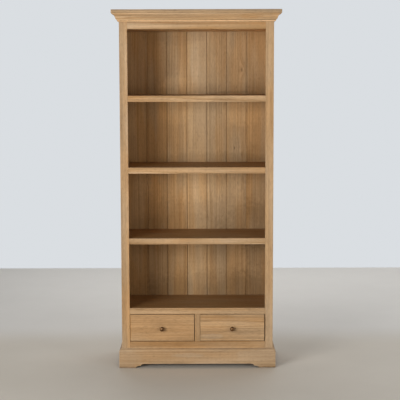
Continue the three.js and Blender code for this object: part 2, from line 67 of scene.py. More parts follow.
def number(name, description, default, **more):
    """A number that a user can change."""
    return bpy.props.FloatProperty(name=name, description=description, default=default, **more)


def length(name, description, metres):
    """A length in metres."""
    return number(name, description, metres, subtype="DISTANCE", unit="LENGTH", min=0, precision=5)


def share(name, description, part, most=1.0):
    """A plain share or strength."""
    return number(name, description, part, subtype="FACTOR", min=0, max=most, precision=3)


def watts(name, description, power):
    """A lamp's power."""
    return number(name, description, power, unit="POWER", min=0)


def angle(name, description, degrees):
    """An angle, given in degrees."""
    return number(name, description, math.radians(degrees), subtype="ANGLE")


def colour(name, description, linear):
    """A linear colour that a user can change."""
    return bpy.props.FloatVectorProperty(
        name=name, description=description, default=linear, subtype="COLOR", size=3, min=0, max=1
    )


class BookcaseWood(bpy.types.PropertyGroup):
    """Colours and grain of the waxed and the plain boards."""

    face_pale: colour("Face, pale", "Early wood of the waxed front boards", (0.52, 0.330, 0.172))
    face_dark: colour("Face, dark", "Late wood of the waxed front boards", (0.40, 0.232, 0.102))
    back_pale: colour("Back, pale", "Early wood of the back planks", (0.50, 0.330, 0.172))
    back_dark: colour("Back, dark", "Late wood of the back planks", (0.34, 0.192, 0.078))
    plain_pale: colour("Plain, pale", "Early wood of the unwaxed drawer parts", (0.66, 0.50, 0.31))
    plain_dark: colour("Plain, dark", "Late wood of the unwaxed drawer parts", (0.55, 0.37, 0.20))
    # Grime is also the colour of the painted shade in joints and corners
    grime: colour("Grime", "Old wax in the joints and pores", (0.10, 0.052, 0.022))
    worn: colour("Worn edge", "Wood that shows on rubbed edges", (0.66, 0.47, 0.29))
    ring_width: length("Ring width", "Distance between two growth rings", 0.0046)
    wander: length("Wander", "How far the rings stray from true circles", 0.016)
    ring_depth: share("Ring depth", "Contrast of the growth rings", 0.42)
    streak_depth: share("Streak depth", "Contrast of the broad streaks along the grain", 0.42, 2)
    fibre_depth: share("Fibre depth", "Contrast of the fine fibres", 0.30, 2)
    pore_depth: share("Pore depth", "How dark the open pores are", 0.45)
    patch_depth: share("Patch depth", "How far patches turn warm or faded", 0.40)
    gloss: share("Gloss", "Strength of the wax's shine", 0.22)
    relief: length("Relief", "Height of the grain under the wax", 0.0003)
    frame_arris: length("Frame arris", "Rounding of the face frame's edges", 0.0009)
    board_arris: length("Board arris", "Rounding of shelves and plain boards", 0.0008)
    case_arris: length("Case arris", "Rounding of the side panels' and drawers' edges", 0.0005)
    fine_arris: length("Fine arris", "Rounding of the drawer sides' and bottoms' edges", 0.0003)


class BookcaseMouldings(bpy.types.PropertyGroup):
    """Sizes of the mouldings."""

    arc_steps: bpy.props.IntProperty(
        name="Arc steps", description="Faces along each curve", min=4, max=64, default=20
    )
    arris: length("Moulding arris", "Rounding of the mouldings' edges", 0.0006)
    top_arris: length("Top arris", "Rounding of the top board's edges", 0.0016)
    bead_height: length("Bead height", "Height of the bead under the cornice", 0.0065)
    bead_projection: length("Bead projection", "How far the bead stands out", 0.0095)
    bead_rounding: length("Bead rounding", "Depth of the bead's half round", 0.0035)
    ogee_foot: length("Ogee foot", "How far the ogee stands out at its foot", 0.010)
    ogee_waist: length("Ogee waist", "How far the ogee stands out at its middle", 0.0195)
    ogee_waist_height: length("Ogee waist height", "From the ogee's foot to its middle", 0.016)
    ogee_swell: length("Ogee swell", "Bow of the ogee's lower half", 0.0018)
    ogee_hollow: length("Ogee hollow", "Bow of the ogee's upper half", 0.0025)
    fillet_height: length("Fillet height", "Height of the fillet under the top board", 0.004)
    plinth_fillet_height: length("Plinth fillet height", "Height of the plinth's fillet", 0.0035)
    plinth_fillet: length("Plinth fillet", "How far the plinth's fillet stands out", 0.004)
    slope_height: length("Slope height", "Height of the plinth's slope", 0.0135)
    slope_start: length("Slope start", "How far the slope stands out at its top", 0.0055)
    slope_swell: length("Slope swell", "Bow of the plinth's slope", 0.002)
    foot_length: length("Foot length", "Length of a bracket foot on the floor", 0.088)
    arch_height: length("Arch height", "Height of the arch between two feet", 0.0215)
    arch_cove: length("Arch cove", "Length of each cove of the arch", 0.0225)
    arch_flat: length("Arch flat", "Flat between the two coves", 0.004)


class BookcaseFittings(bpy.types.PropertyGroup):
    """Knobs, screws and nails."""

    bronze_dark: colour("Bronze, dark", "Patina of the knobs", (0.085, 0.034, 0.009))
    bronze_worn: colour("Bronze, worn", "Rubbed metal on the knobs' crowns", (0.46, 0.27, 0.13))
    bronze_dirt: colour("Bronze, dirt", "Dirt in the knobs' corners", (0.018, 0.010, 0.006))
    steel: colour("Steel", "Screws and nail heads", (0.42, 0.41, 0.39))
    steel_specks: colour("Steel specks", "Dull specks on the steel", (0.12, 0.10, 0.08))
    steel_dirt: colour("Steel dirt", "Dirt in the screws' slots", (0.04, 0.03, 0.025))
    dome: length("Knob dome", "Height of a knob's rounded crown", 0.0075)
    knob_arris: length("Knob arris", "Rounding of a knob's edges", 0.0003)
    nail_head: length("Nail head", "Radius of a nail's head", 0.0028)
    nail_hole: length("Nail hole", "Radius of the dent round a nail", 0.0034)
    nail_depth: length("Nail depth", "How far the nails are punched in", 0.0007)
    nail_inset: length("Nail inset", "From a plank's edge to its nails", 0.022)
    nail_sway: length("Nail sway", "How far a nail may stray from its line", 0.0015)
    nail_top: length("Nail top", "From a nail's top to the planks' face", 0.0002)
    nail_arris: length("Nail arris", "Rounding of a nail's edge", 0.00035)


class BookcaseStage(bpy.types.PropertyGroup):
    """Floor, light and camera."""

    camera_distance: length("Camera distance", "From the lens to the face frame", 5.944)
    camera_height: length("Camera height", "Lens above the floor", 1.572)
    camera_side: length("Camera offset", "Lens to the right of the middle", 0.016)
    camera_pitch: angle("Camera pitch", "How far the camera looks down", 6.41)
    camera_roll: angle("Camera roll", "How far the camera leans to the right", 0.15)
    camera_lens: number(
        "Lens", "Focal length on a 36 mm wide sensor", 101.7,
        subtype="DISTANCE_CAMERA", unit="CAMERA", min=1,
    )
    key_power: watts("Key power", "Power of the large soft light on the left", 190)
    fill_power: watts("Fill power", "Power of the weaker soft light on the right", 60)
    wall_power: watts("Wall power", "Power of the glow that the pale wall gives back", 95)
    top_power: watts("Top power", "Power of the small light over the top board", 4)
    ambient: share("Room light", "Brightness of the room all round", 0.16, 4)
    room: colour("Room", "Colour of the light from all round", (1.0, 0.98, 0.95))
    wall: colour("Wall", "Pale wall behind the floor", (0.70, 0.73, 0.76))
    # The floor's lighter colour near the wall is painted light
    floor_painted_light: colour("Floor, pale", "Floor near the wall", (0.80, 0.79, 0.765))
    floor_dark: colour("Floor, dark", "Floor in front of the case", (0.68, 0.64, 0.57))
    # Also the painted contact shadow round the case's foot
    floor_dust_and_shadow: colour("Floor dirt", "Dust along the foot of the case", (0.20, 0.16, 0.12))
    floor_back: length("Floor depth", "From the middle of the case to the wall line", 2.94)
    floor_front: length("Floor reach", "From the middle of the case to the floor's front edge", 12)
    floor_side: length("Floor side", "From the middle of the case to the floor's side edges", 9)


# Small tools for node trees


class Wiring:
    """Adds nodes to one tree. A value given to an input may be a socket or a plain value."""

    def __init__(self, tree):
        self.tree = tree

    def node(self, kind, inputs=None, **settings):
        made = self.tree.nodes.new(f"ShaderNode{kind}")
        for name, value in settings.items():
            setattr(made, name, value)
        for name, value in (inputs or {}).items():
            self.feed(made.inputs[name], value)
        return made

    def feed(self, socket, value):
        if isinstance(value, bpy.types.NodeSocket):
            self.tree.links.new(value, socket)
        elif value is not None:
            socket.default_value = value

    def maths(self, operation, *values, clamp=False):
        made = self.node("Math", operation=operation, use_clamp=clamp)
        for socket, value in zip(made.inputs, values):
            self.feed(socket, value)
        return made.outputs[0]

    def times(self, first, second):
        return self.maths("MULTIPLY", first, second)

    def plus(self, first, second):
        return self.maths("ADD", first, second)

    def swing(self, noise, depth):
        """A noise that swings to both sides of nought, at a depth."""
        return self.times(self.maths("SUBTRACT", noise, 0.5), depth)

    def vector(self, operation, *values, scale=None):
        made = self.node("VectorMath", operation=operation)
        for socket, value in zip(made.inputs, values):
            self.feed(socket, value)
        if scale is not None:
            self.feed(made.inputs["Scale"], scale)
        return made.outputs["Value" if operation in ("LENGTH", "DOT_PRODUCT") else "Vector"]

    def mix(self, factor, first, second, blend="MIX"):
        made = self.node("Mix", data_type="RGBA", blend_type=blend, clamp_result=False)
        for name, value in (("Factor_Float", factor), ("A_Color", first), ("B_Color", second)):
            socket = next(s for s in made.inputs if s.identifier == name)
            self.feed(socket, value)
        return next(s for s in made.outputs if s.identifier == "Result_Color")

    def noise(self, vector, scale, detail=2.0, roughness=0.5):
        """Noise at one scale, or at a scale of its own along each axis."""
        if isinstance(scale, tuple):
            vector, scale = self.vector("MULTIPLY", vector, scale), 1.0
        inputs = {"Vector": vector, "Scale": scale, "Detail": detail, "Roughness": roughness}
        return self.node("TexNoise", inputs).outputs["Fac"]

    def ramp(self, value, low, high, start=0.0, end=1.0):
        inputs = {"Value": value, "From Min": low, "From Max": high, "To Min": start, "To Max": end}
        return self.node("MapRange", inputs, interpolation_type="SMOOTHSTEP").outputs["Result"]

    def attribute(self, name):
        """What a piece carries under a name."""
        return self.node("Attribute", attribute_type="OBJECT", attribute_name=name).outputs

    def effect(self, name, inputs):
        """Places a shared node group with values of its own."""
        return self.node("Group", inputs, node_tree=shared_group(name)).outputs


SOCKETS = {"VALUE": "NodeSocketFloat", "VECTOR": "NodeSocketVector", "RGBA": "NodeSocketColor"}


def shared_group(name):
    """The node group of an effect, built the first time it is asked for.

    An input's default tells its kind: a number, a colour, or None for a vector.
    """
    found = bpy.data.node_groups.get(name)
    if found is not None:
        return found
    build, inputs = EFFECTS[name]
    tree = bpy.data.node_groups.new(name, "ShaderNodeTree")
    for label, default in inputs.items():
        kind = "VECTOR" if default is None else "RGBA" if isinstance(default, tuple) else "VALUE"
        made = tree.interface.new_socket(name=label, in_out="INPUT", socket_type=SOCKETS[kind])
        if default is not None:
            made.default_value = default
    results = build(Wiring(tree), tree.nodes.new("NodeGroupInput").outputs)
    for label, socket in results.items():
        kind = SOCKETS[socket.type]
        tree.interface.new_socket(name=label, in_out="OUTPUT", socket_type=kind)
    end = tree.nodes.new("NodeGroupOutput")
    for label, socket in results.items():
        tree.links.new(socket, end.inputs[label])
    return tree


def rgba(linear):
    return (*linear, 1.0)


# Effects that several materials share

# Noise scales per metre, along the grain and twice across it
WAVE_SCALES = (0.8, 7.0, 7.0)
RIPPLE_SCALES = (3.0, 70.0, 70.0)
STREAK_SCALES = (1.1, 75.0, 75.0)
FIBRE_SCALES = (9.0, 900.0, 900.0)
SPECK_SCALES = (45.0, 1700.0, 1700.0)
CLOUD_SCALES = (2.2, 13.0, 13.0)
BLOT_SCALES = (5.0, 22.0, 22.0)
# Noise scales per metre, the same all ways
PATCH_EDGE_SCALE = 45.0
GRIME_AND_SHADE_SCALE = 60.0
WEAR_SCALE = 38.0

RIPPLE_DEPTH = 2.2 * MM
BLOT_DEPTH = 0.35
KNOT_STRENGTH = 0.55
# A knot is twice as tall as it is wide and has no depth
KNOT_SHAPE = (1.0, 0.0, 0.5)
# How far a knot pushes the rings, in radii, and how this fades with each radius
KNOT_PUSH = 2.0
KNOT_FADE = -0.45
# Where in a ring the late wood sets in, is darkest and breaks off
RING_TURNS = (0.25, 0.9, 1.0)
WARM_TINT = (1.0, 0.85, 0.63, 1.0)
FADED_TINT = (0.98, 1.07, 1.24, 1.0)
# What the shade and the pores add to the roughness
SHADE_DULLNESS, PORE_DULLNESS = -0.25, 0.2
# What the rings add to the height of the grain, and what the pores take from it
RING_HEIGHT, PORE_DROP = 0.45, 0.9


def knot_group(wires, given):
    """A small knot seen on a board's face: its dark heart, and how it pushes the rings aside."""
    away = wires.vector("SUBTRACT", given["Vector"], given["Place"])
    flat = wires.vector("MULTIPLY", away, KNOT_SHAPE)
    steps = wires.maths("DIVIDE", wires.vector("LENGTH", flat), given["Radius"])
    swell = wires.maths("EXPONENT", wires.times(steps, KNOT_FADE))
    push = wires.times(swell, wires.times(given["Radius"], KNOT_PUSH))
    return {"Mask": wires.ramp(steps, 1.5, 0.5), "Push": push}


def patch_group(wires, given):
    """A soft-edged patch round a place, with half sizes along X, Y and Z."""
    away = wires.vector("SUBTRACT", given["Vector"], given["Place"])
    steps = wires.vector("LENGTH", wires.vector("DIVIDE", away, given["Reach"]))
    rough = wires.maths("SUBTRACT", wires.noise(given["Vector"], PATCH_EDGE_SCALE, 3.0), 0.5)
    ragged = wires.plus(steps, rough)
    return {"Mask": wires.ramp(ragged, 1.2, 0.6)}


def growth_rings_group(wires, given):
    """Growth rings round a heart line along X, strayed by noise and pushed aside by knots."""
    apart = wires.node("CombineXYZ", {"X": given["Seed"]}).outputs[0]
    moved = wires.vector("ADD", given["Vector"], apart)
    radius = wires.vector("LENGTH", wires.vector("MULTIPLY", given["Vector"], (0.0, 1.0, 1.0)))
    stray = wires.swing(wires.noise(moved, WAVE_SCALES), given["Wander"])
    tremor = wires.swing(wires.noise(moved, RIPPLE_SCALES, 1.0), RIPPLE_DEPTH)
    strayed = wires.plus(radius, wires.plus(stray, tremor))
    pushed = wires.plus(strayed, given["Push"])
    phase = wires.maths("FRACT", wires.maths("DIVIDE", pushed, given["Ring Width"]))
    start, crest, end = RING_TURNS
    rings = wires.times(wires.ramp(phase, start, crest), wires.ramp(phase, crest, end, 1.0, 0.0))
    return {"Rings": rings, "Fibre Vector": moved}


def board_group(wires, given):
    """A board's colour, sheen and relief from its rings, streaks, fibres, pores and knots."""
    ring_inputs = ("Vector", "Seed", "Ring Width", "Wander", "Push")
    rings = wires.effect("Growth rings", {label: given[label] for label in ring_inputs})
    along = rings["Fibre Vector"]
    fibre = wires.noise(along, FIBRE_SCALES)
    pores = wires.ramp(wires.noise(along, SPECK_SCALES, 0.0), 0.62, 0.76)

    late = wires.times(rings["Rings"], given["Ring Depth"])
    base = wires.mix(late, given["Pale"], given["Dark"])
    streak = wires.swing(wires.noise(along, STREAK_SCALES, 3.0, 0.6), given["Streak Depth"])
    thread = wires.swing(fibre, given["Fibre Depth"])
    blot = wires.swing(wires.noise(along, BLOT_SCALES), BLOT_DEPTH)
    shade = wires.plus(wires.plus(streak, thread), blot)
    bright = wires.times(wires.plus(shade, 1.0), given["Tone"])
    toned = wires.vector("SCALE", base, scale=bright)

    clouds = wires.ramp(wires.noise(along, CLOUD_SCALES, 1.0), 0.36, 0.64, -1.0, 1.0)
    lean = wires.plus(wires.times(clouds, given["Patch Depth"]), given["Blush"])
    warm = wires.maths("MAXIMUM", lean, 0.0)
    faint = wires.maths("MAXIMUM", wires.times(lean, -1.0), 0.0)
    warmed = wires.mix(warm, toned, WARM_TINT, "MULTIPLY")
    faded = wires.mix(faint, warmed, FADED_TINT, "MULTIPLY")
    pored = wires.mix(wires.times(pores, given["Pore Depth"]), faded, given["Grime"])
    knotted = wires.mix(wires.times(given["Knot"], KNOT_STRENGTH), pored, given["Grime"])

    dulled = wires.plus(given["Roughness"], wires.times(shade, SHADE_DULLNESS))
    dry = wires.maths("ADD", dulled, wires.times(pores, PORE_DULLNESS), clamp=True)
    ridge = wires.plus(wires.times(rings["Rings"], RING_HEIGHT), fibre)
    dips = wires.maths("SUBTRACT", ridge, wires.times(pores, PORE_DROP))
    return {"Color": knotted, "Roughness": dry, "Height": dips}


def joint_dirt_and_shade_group(wires, given):
    """Old wax and shadow in corners and joints, broken up by noise."""
    occluded = wires.node("AmbientOcclusion", {"Distance": given["Reach"]}, samples=6)
    shut = wires.ramp(occluded.outputs["AO"], 0.72, 0.25)
    broken = wires.ramp(wires.noise(given["Vector"], GRIME_AND_SHADE_SCALE), 0.25, 0.6, 0.55, 1.0)
    return {"Mask": wires.times(shut, wires.times(broken, given["Strength"]))}


def worn_edges_group(wires, given):
    """Rubbed outer edges, found where a rounded normal leaves the true one."""
    rounded = wires.node("Bevel", {"Radius": given["Width"]}, samples=4).outputs[0]
    true_normal = wires.node("NewGeometry").outputs["Normal"]
    edge = wires.ramp(wires.vector("DOT_PRODUCT", rounded, true_normal), 0.985, 0.80)
    broken = wires.ramp(wires.noise(given["Vector"], WEAR_SCALE, 3.0), 0.35, 0.65, 0.25, 1.0)
    return {"Mask": wires.times(edge, wires.times(broken, given["Strength"]))}


EFFECTS = {
    "Knot": (knot_group, {"Vector": None, "Place": None, "Radius": 0.006}),
    "Patch": (patch_group, {"Vector": None, "Place": None, "Reach": None}),
    "Growth rings": (
        growth_rings_group,
        {"Vector": None, "Seed": 0.0, "Ring Width": 0.005, "Wander": 0.01, "Push": 0.0},
    ),
    "Board": (
        board_group,
        {
            "Vector": None, "Seed": 0.0, "Tone": 1.0, "Blush": 0.0, "Knot": 0.0, "Push": 0.0,
            "Pale": (0.5, 0.3, 0.2, 1.0), "Dark": (0.4, 0.2, 0.1, 1.0),
            "Grime": (0.1, 0.05, 0.02, 1.0), "Ring Width": 0.005, "Wander": 0.01,
            "Ring Depth": 0.5, "Streak Depth": 0.3, "Fibre Depth": 0.3, "Pore Depth": 0.5,
            "Patch Depth": 0.5, "Roughness": 0.5,
        },
    ),
    "Joint grime": (joint_dirt_and_shade_group, {"Vector": None, "Reach": 0.006, "Strength": 0.6}),
    "Worn edges": (worn_edges_group, {"Vector": None, "Width": 0.0015, "Strength": 0.6}),
}


# Materials

GRAIN_ORDER = {"X": ("X", "Y", "Z"), "Y": ("Y", "X", "Z"), "Z": ("Z", "X", "Y")}
PLANKS = 7
# Heights between which the back's tone rises to full, where the lowest compartment ends; the darker
# lowest compartment is painted shade
LOW_SHADE_HEIGHTS = (0.62, 0.76)
# Knots on the back planks: place in metres and radius
PLANK_KNOTS = (((0.249, 0.0, 1.589), 0.0045), ((0.209, 0.0, 1.155), 0.0042))
# Depth of the patches on the planks' faces, and how far they reach before and behind it
BACK_DEPTH = 0.1995
BACK_REACH = 0.005


def patches_at(run, depth, reach, *rows):
    """Patches at one depth on boards with one run of the grain.

    Each row holds the place along X and Z and the half sizes along X and Z in metres, and what
    is added to the blush and to the tone there.
    """
    return tuple(
        (run, (x, depth, z), (half_x, reach, half_z), blush, tone)
        for x, z, half_x, half_z, blush, tone in rows
    )


# On the face frame, the side panels and the drawer fronts
FACE_PATCHES = patches_at(
    "X", -0.17, 0.1,
    (-0.062, 1.817, 0.29, 0.003, -0.9, 0.05),
    # Painted shadow under the cornice's bead, on the top rail
    (0.0, 1.8335, 0.6, 0.006, 0.2, -0.07),
    (0.078, 0.168, 0.058, 0.014, -1.2, 0.08),
    (0.11, 0.272, 0.10, 0.012, 0.5, -0.04),
    # Painted shade in the gaps below, above and left of the drawers
    (0.0, 0.1405, 0.42, 0.0045, 0.9, -0.16),
    (0.0, 0.2895, 0.42, 0.003, 0.6, -0.06),
    (-0.359, 0.2155, 0.0045, 0.09, 0.8, -0.16),
    (0.0, 0.122, 0.16, 0.03, 0.2, -0.05),
    # Painted highlight on the lower edge of the bottom rail, above the plinth
    (0.0, 0.1080, 0.42, 0.0040, -0.4, 0.28),
    (-0.02, 1.438, 0.13, 0.03, -0.3, 0.13),
    (0.0, 0.3055, 0.10, 0.03, 0.0, -0.05),
    (0.0, 0.683, 0.13, 0.03, 0.5, -0.06),
    (0.25, 0.683, 0.11, 0.03, -0.3, 0.05),
    (0.0, 1.061, 0.12, 0.03, 0.35, 0.01),
    (-0.25, 1.061, 0.12, 0.03, -0.35, 0.04),
) + patches_at(
    "Z", -0.17, 0.1,
    # Painted shadow in the wide gap right of the right drawer
    (0.3635, 0.214, 0.0055, 0.085, 0.6, -0.34),
    # Painted highlight on the stiles' lower ends, above the plinth
    (0.0, 0.1080, 0.45, 0.0040, -0.4, 0.12),
    (-0.367, 1.62, 0.011, 0.16, -0.7, 0.16),
    (-0.367, 1.27, 0.011, 0.14, -0.8, 0.07),
    (-0.391, 1.28, 0.012, 0.15, -0.1, -0.12),
    (-0.391, 0.42, 0.012, 0.30, 0.3, -0.12),
    (-0.367, 0.87, 0.011, 0.14, -0.1, 0.10),
)
# On the edge of the top board, the bead, the cornice and the plinth
MOULDING_PATCHES = patches_at(
    "X", -0.2095, 0.006,
    (0.0, 1.893, 0.6, 0.016, -0.55, -0.06),
    (0.0, 1.900, 0.6, 0.009, -0.35, -0.12),
) + patches_at(
    "X", -0.18, 0.1,
    # Painted highlight on the bead
    (0.0, 1.8425, 0.6, 0.005, -1.2, 0.82),
) + patches_at(
    "X", -0.19, 0.1,
    # Painted light on the fillet under the top board, and painted shade at the top of the ogee's
    # hollow
    (0.0, 1.8765, 0.6, 0.005, -0.3, 0.06),
    (0.0, 1.868, 0.6, 0.004, 0.2, -0.10),
    (0.0, 1.8545, 0.6, 0.006, 0.2, -0.06),
    (0.285, 1.866, 0.065, 0.016, 0.6, -0.05),
    (0.245, 0.045, 0.035, 0.025, -1.0, 0.04),
) + patches_at(
    "X", -0.18, 0.1,
    (-0.39, 0.05, 0.09, 0.06, -0.6, 0.0),
    (0.37, 0.05, 0.12, 0.07, -0.7, 0.03),
    # Painted contact shadow and dirt along the feet's bottom edge
    (0.0, 0.0, 0.7, 0.008, 0.6, -0.34),
    # Painted highlight on the plinth board's lower edge over the feet
    (0.0, 0.0255, 0.5, 0.006, -0.6, 0.12),
    # Painted contact shadow and dirt at the right foot's bottom
    (0.372, 0.010, 0.06, 0.014, 0.5, -0.14),
    (0.252, 0.078, 0.05, 0.012, -0.6, 0.06),
    # Painted shadow under the plinth's fillet, and painted highlight on the top of its slope
    (0.0, 0.1015, 0.6, 0.0024, 0.3, -0.21),
    (0.0, 0.0955, 0.6, 0.0040, -0.4, 0.12),
    (-0.05, 0.068, 0.09, 0.013, -0.9, -0.01),
    (0.30, 0.060, 0.05, 0.010, -0.6, 0.02),
)
# Most rows paint light and shade: darker bands just above the shelves and under the ceiling, a
# darker right side, lighter middles of the compartments
BACK_PATCHES = patches_at(
    "Z", BACK_DEPTH, BACK_REACH,
    (0.165, 1.60, 0.025, 0.09, 0.2, -0.07),
    (0.065, 0.83, 0.03, 0.10, 0.3, -0.08),
    # Painted sheen in the middle of the top compartment
    (-0.01, 1.62, 0.03, 0.12, -0.5, 0.06),
    (0.12, 0.32, 0.5, 0.15, 0.1, -0.20),
    (0.33, 0.36, 0.15, 0.16, 0.1, -0.08),
    (0.32, 0.73, 0.19, 0.14, 0.1, -0.22),
    (0.36, 1.10, 0.16, 0.08, 0.1, -0.12),
    (0.36, 1.50, 0.10, 0.06, 0.1, -0.08),
    (0.22, 1.455, 0.17, 0.018, 0.1, -0.19),
    (0.0, 1.73, 0.19, 0.09, 0.0, -0.07),
    (-0.05, 1.53, 0.13, 0.08, -0.15, 0.06),
    (-0.22, 0.87, 0.06, 0.14, 0.35, 0.12),
    (-0.12, 1.78, 0.18, 0.06, 0.0, -0.12),
    (-0.12, 1.49, 0.10, 0.07, 0.0, 0.14),
    (-0.12, 1.36, 0.09, 0.08, 0.0, 0.14),
    (0.24, 1.36, 0.13, 0.09, 0.0, 0.15),
    (0.08, 1.09, 0.36, 0.045, 0.1, -0.15),
    (-0.04, 0.95, 0.32, 0.11, 0.0, 0.20),
    (-0.12, 0.71, 0.32, 0.09, 0.1, -0.12),
    (0.34, 0.83, 0.07, 0.12, 0.1, -0.11),
    (0.05, 0.44, 0.13, 0.07, 0.0, 0.13),
    (0.34, 0.56, 0.08, 0.09, 0.1, -0.12),
)
# Tone in each groove between two planks and on the paler strip to its right, from the left; the
# groove's darkening is old wax and painted shade
GROOVE_TONES = (
    (-0.34, 0.05), (-0.34, 0.05), (-0.28, 0.05), (-0.22, 0.07), (-0.02, 0.0), (-0.14, 0.05)
)
# Half widths of a groove's old wax and painted shade and of the paler strip beside it, and the step
# between their middles
GROOVE_SHADE_HALF, PALE_STRIP_HALF, PALE_STRIP_STEP = 2.0 * MM, 4.0 * MM, 5.5 * MM
# Middle and half height of both, past both ends of the planks
GROOVE_MIDDLE, GROOVE_HALF_HEIGHT = 1.0, 3.0


def groove_patches():
    """Old wax and painted shade in the grooves between the back planks, and a paler strip beside
    each groove.
    """
    start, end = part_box("back_plank_1")[0].x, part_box(f"back_plank_{PLANKS}")[1].x
    rows = []
    # The first tone is the groove's old wax and painted shade, the second the paler strip
    for i, (waxed, lighter) in enumerate(GROOVE_TONES, 1):
        x = start + (end - start) * i / PLANKS
        rows.append((x, GROOVE_MIDDLE, GROOVE_SHADE_HALF, GROOVE_HALF_HEIGHT, 0.0, waxed))
        rows.append((x + PALE_STRIP_STEP, GROOVE_MIDDLE, PALE_STRIP_HALF, GROOVE_HALF_HEIGHT, 0.0, lighter))
    return patches_at("Z", BACK_DEPTH, BACK_REACH, *rows)


def wood_finishes(wood):
    """What each finish of the record gets: colours, grain contrast, sheen, wear, flaws, and patches
    of tone, painted light and painted shade.
    """
    common = dict(
        pale=wood.face_pale,
        dark=wood.face_dark,
        contrast=1.0,
        roughness=0.5,
        worn_width=1.8 * MM,
        foot=1.0,
        knots=(),
        patches=(),
    )
    waxed = common | dict(roughness=0.47)
    return {
        "face_wood": waxed | dict(
            worn=0.55, grime=0.8, grime_and_shade_reach=14 * MM, patches=FACE_PATCHES
        ),
        "moulding_wood": waxed | dict(
            # The strong, wide rubbed edges of the mouldings also paint the highlight on the bead
            worn=0.9, worn_width=3 * MM, grime=0.7, grime_and_shade_reach=3 * MM, patches=MOULDING_PATCHES
        ),
        "shelf_wood": common | dict(worn=0.5, grime=0.6, grime_and_shade_reach=10 * MM),
        "back_wood": common | dict(
            pale=wood.back_pale,
            dark=wood.back_dark,
            contrast=1.05,
            worn=0.25,
            grime=0.9,
            grime_and_shade_reach=7 * MM,
            # The back's tone in the lowest compartment, as painted shade
            foot=0.87,
            knots=PLANK_KNOTS,
            patches=BACK_PATCHES + groove_patches(),
        ),
        "drawer_wood": common | dict(
            pale=wood.plain_pale,
            dark=wood.plain_dark,
            contrast=0.7,
            roughness=0.62,
            worn=0.2,
            grime=0.35,
            grime_and_shade_reach=7 * MM,
        ),
    }


def new_material(name):
    """A new material, its wiring, and the place of each point in its piece's own frame."""
    material = bpy.data.materials.new(name)
    material.use_nodes = True
    wires = Wiring(material.node_tree)
    return material, wires, wires.node("TexCoord").outputs["Object"]


def finish_material(wires, colour, roughness, height, relief, own_input, strength):
    """Feeds a material's shader: colour, roughness, relief and one more input."""
    inputs = wires.tree.nodes["Principled BSDF"].inputs
    bump = wires.node("Bump", {"Height": height, "Distance": relief})
    wires.feed(inputs["Base Color"], colour)
    wires.feed(inputs["Roughness"], roughness)
    wires.feed(inputs["Normal"], bump.outputs["Normal"])
    wires.feed(inputs[own_input], strength)


def wood_material(finish, run):
    """The material of one finish on boards whose grain runs along X, Y or Z."""
    name = f"{finish} along {run}"
    found = bpy.data.materials.get(name)
    if found is not None:
        return found
    wood = bpy.context.scene.bookcase_wood
    look = wood_finishes(wood)[finish]
    material, wires, own = new_material(name)

    labels = ("Seed", "Tone", "Blush", "Wear", "Figure")
    per_board = {label: wires.attribute(label.lower())["Fac"] for label in labels}
    wear = wires.times(per_board.pop("Wear"), look["worn"])
    figure = wires.times(per_board.pop("Figure"), look["contrast"])
    # Painted shade: the back is darker in the lowest compartment
    above_foot = wires.node("SeparateXYZ", {"Vector": own}).outputs["Z"]
    painted_low_shade = wires.ramp(above_foot, *LOW_SHADE_HEIGHTS, look["foot"], 1.0)
    per_board["Tone"] = wires.times(per_board["Tone"], painted_low_shade)
    from_heart = wires.vector("SUBTRACT", own, wires.attribute("heart")["Vector"])
    for label in ("Tone", "Blush"):
        slope = wires.attribute(f"{label.lower()}_slope")["Vector"]
        rise = wires.vector("DOT_PRODUCT", from_heart, slope)
        per_board[label] = wires.plus(per_board[label], rise)
    for direction, place, reach, blush, tone in look["patches"]:
        if direction == run:
            mask = wires.effect("Patch", {"Vector": own, "Place": place, "Reach": reach})["Mask"]
            for label, change in (("Tone", tone), ("Blush", blush)):
                per_board[label] = wires.plus(per_board[label], wires.times(mask, change))
    parts = wires.node("SeparateXYZ", {"Vector": from_heart}).outputs
    turned = {axis: parts[source] for axis, source in zip("XYZ", GRAIN_ORDER[run])}

    hearts, push = 0.0, 0.0
    for place, radius in look["knots"]:
        made = wires.effect("Knot", {"Vector": own, "Place": place, "Radius": radius})
        hearts = wires.maths("MAXIMUM", hearts, made["Mask"])
        push = wires.plus(push, made["Push"])

    grain = wires.effect(
        "Board",
        {
            "Vector": wires.node("CombineXYZ", turned).outputs[0],
            **per_board,
            "Knot": hearts,
            "Push": push,
            "Pale": rgba(look["pale"]),
            "Dark": rgba(look["dark"]),
            "Grime": rgba(wood.grime),
            "Ring Width": wood.ring_width,
            "Wander": wood.wander,
            "Ring Depth": wires.times(figure, wood.ring_depth),
            "Streak Depth": wires.times(figure, wood.streak_depth),
            "Fibre Depth": wires.times(figure, wood.fibre_depth),
            "Pore Depth": wood.pore_depth * look["contrast"],
            "Patch Depth": wood.patch_depth,
            "Roughness": look["roughness"],
        },
    )
    edges = wires.effect(
        "Worn edges", {"Vector": own, "Width": look["worn_width"], "Strength": wear}
    )
    # Painted shade and old wax in corners, joints and under overhangs
    grime = wires.effect(
        "Joint grime", {"Vector": own, "Reach": look["grime_and_shade_reach"], "Strength": look["grime"]}
    )
    lighter = wires.mix(edges["Mask"], grain["Color"], rgba(wood.worn))
    soiled_and_shaded = wires.mix(grime["Mask"], lighter, rgba(wood.grime))
    relief = grain["Height"], wood.relief
    finish_material(wires, soiled_and_shaded, grain["Roughness"], *relief, "Specular IOR Level", wood.gloss)
    return material


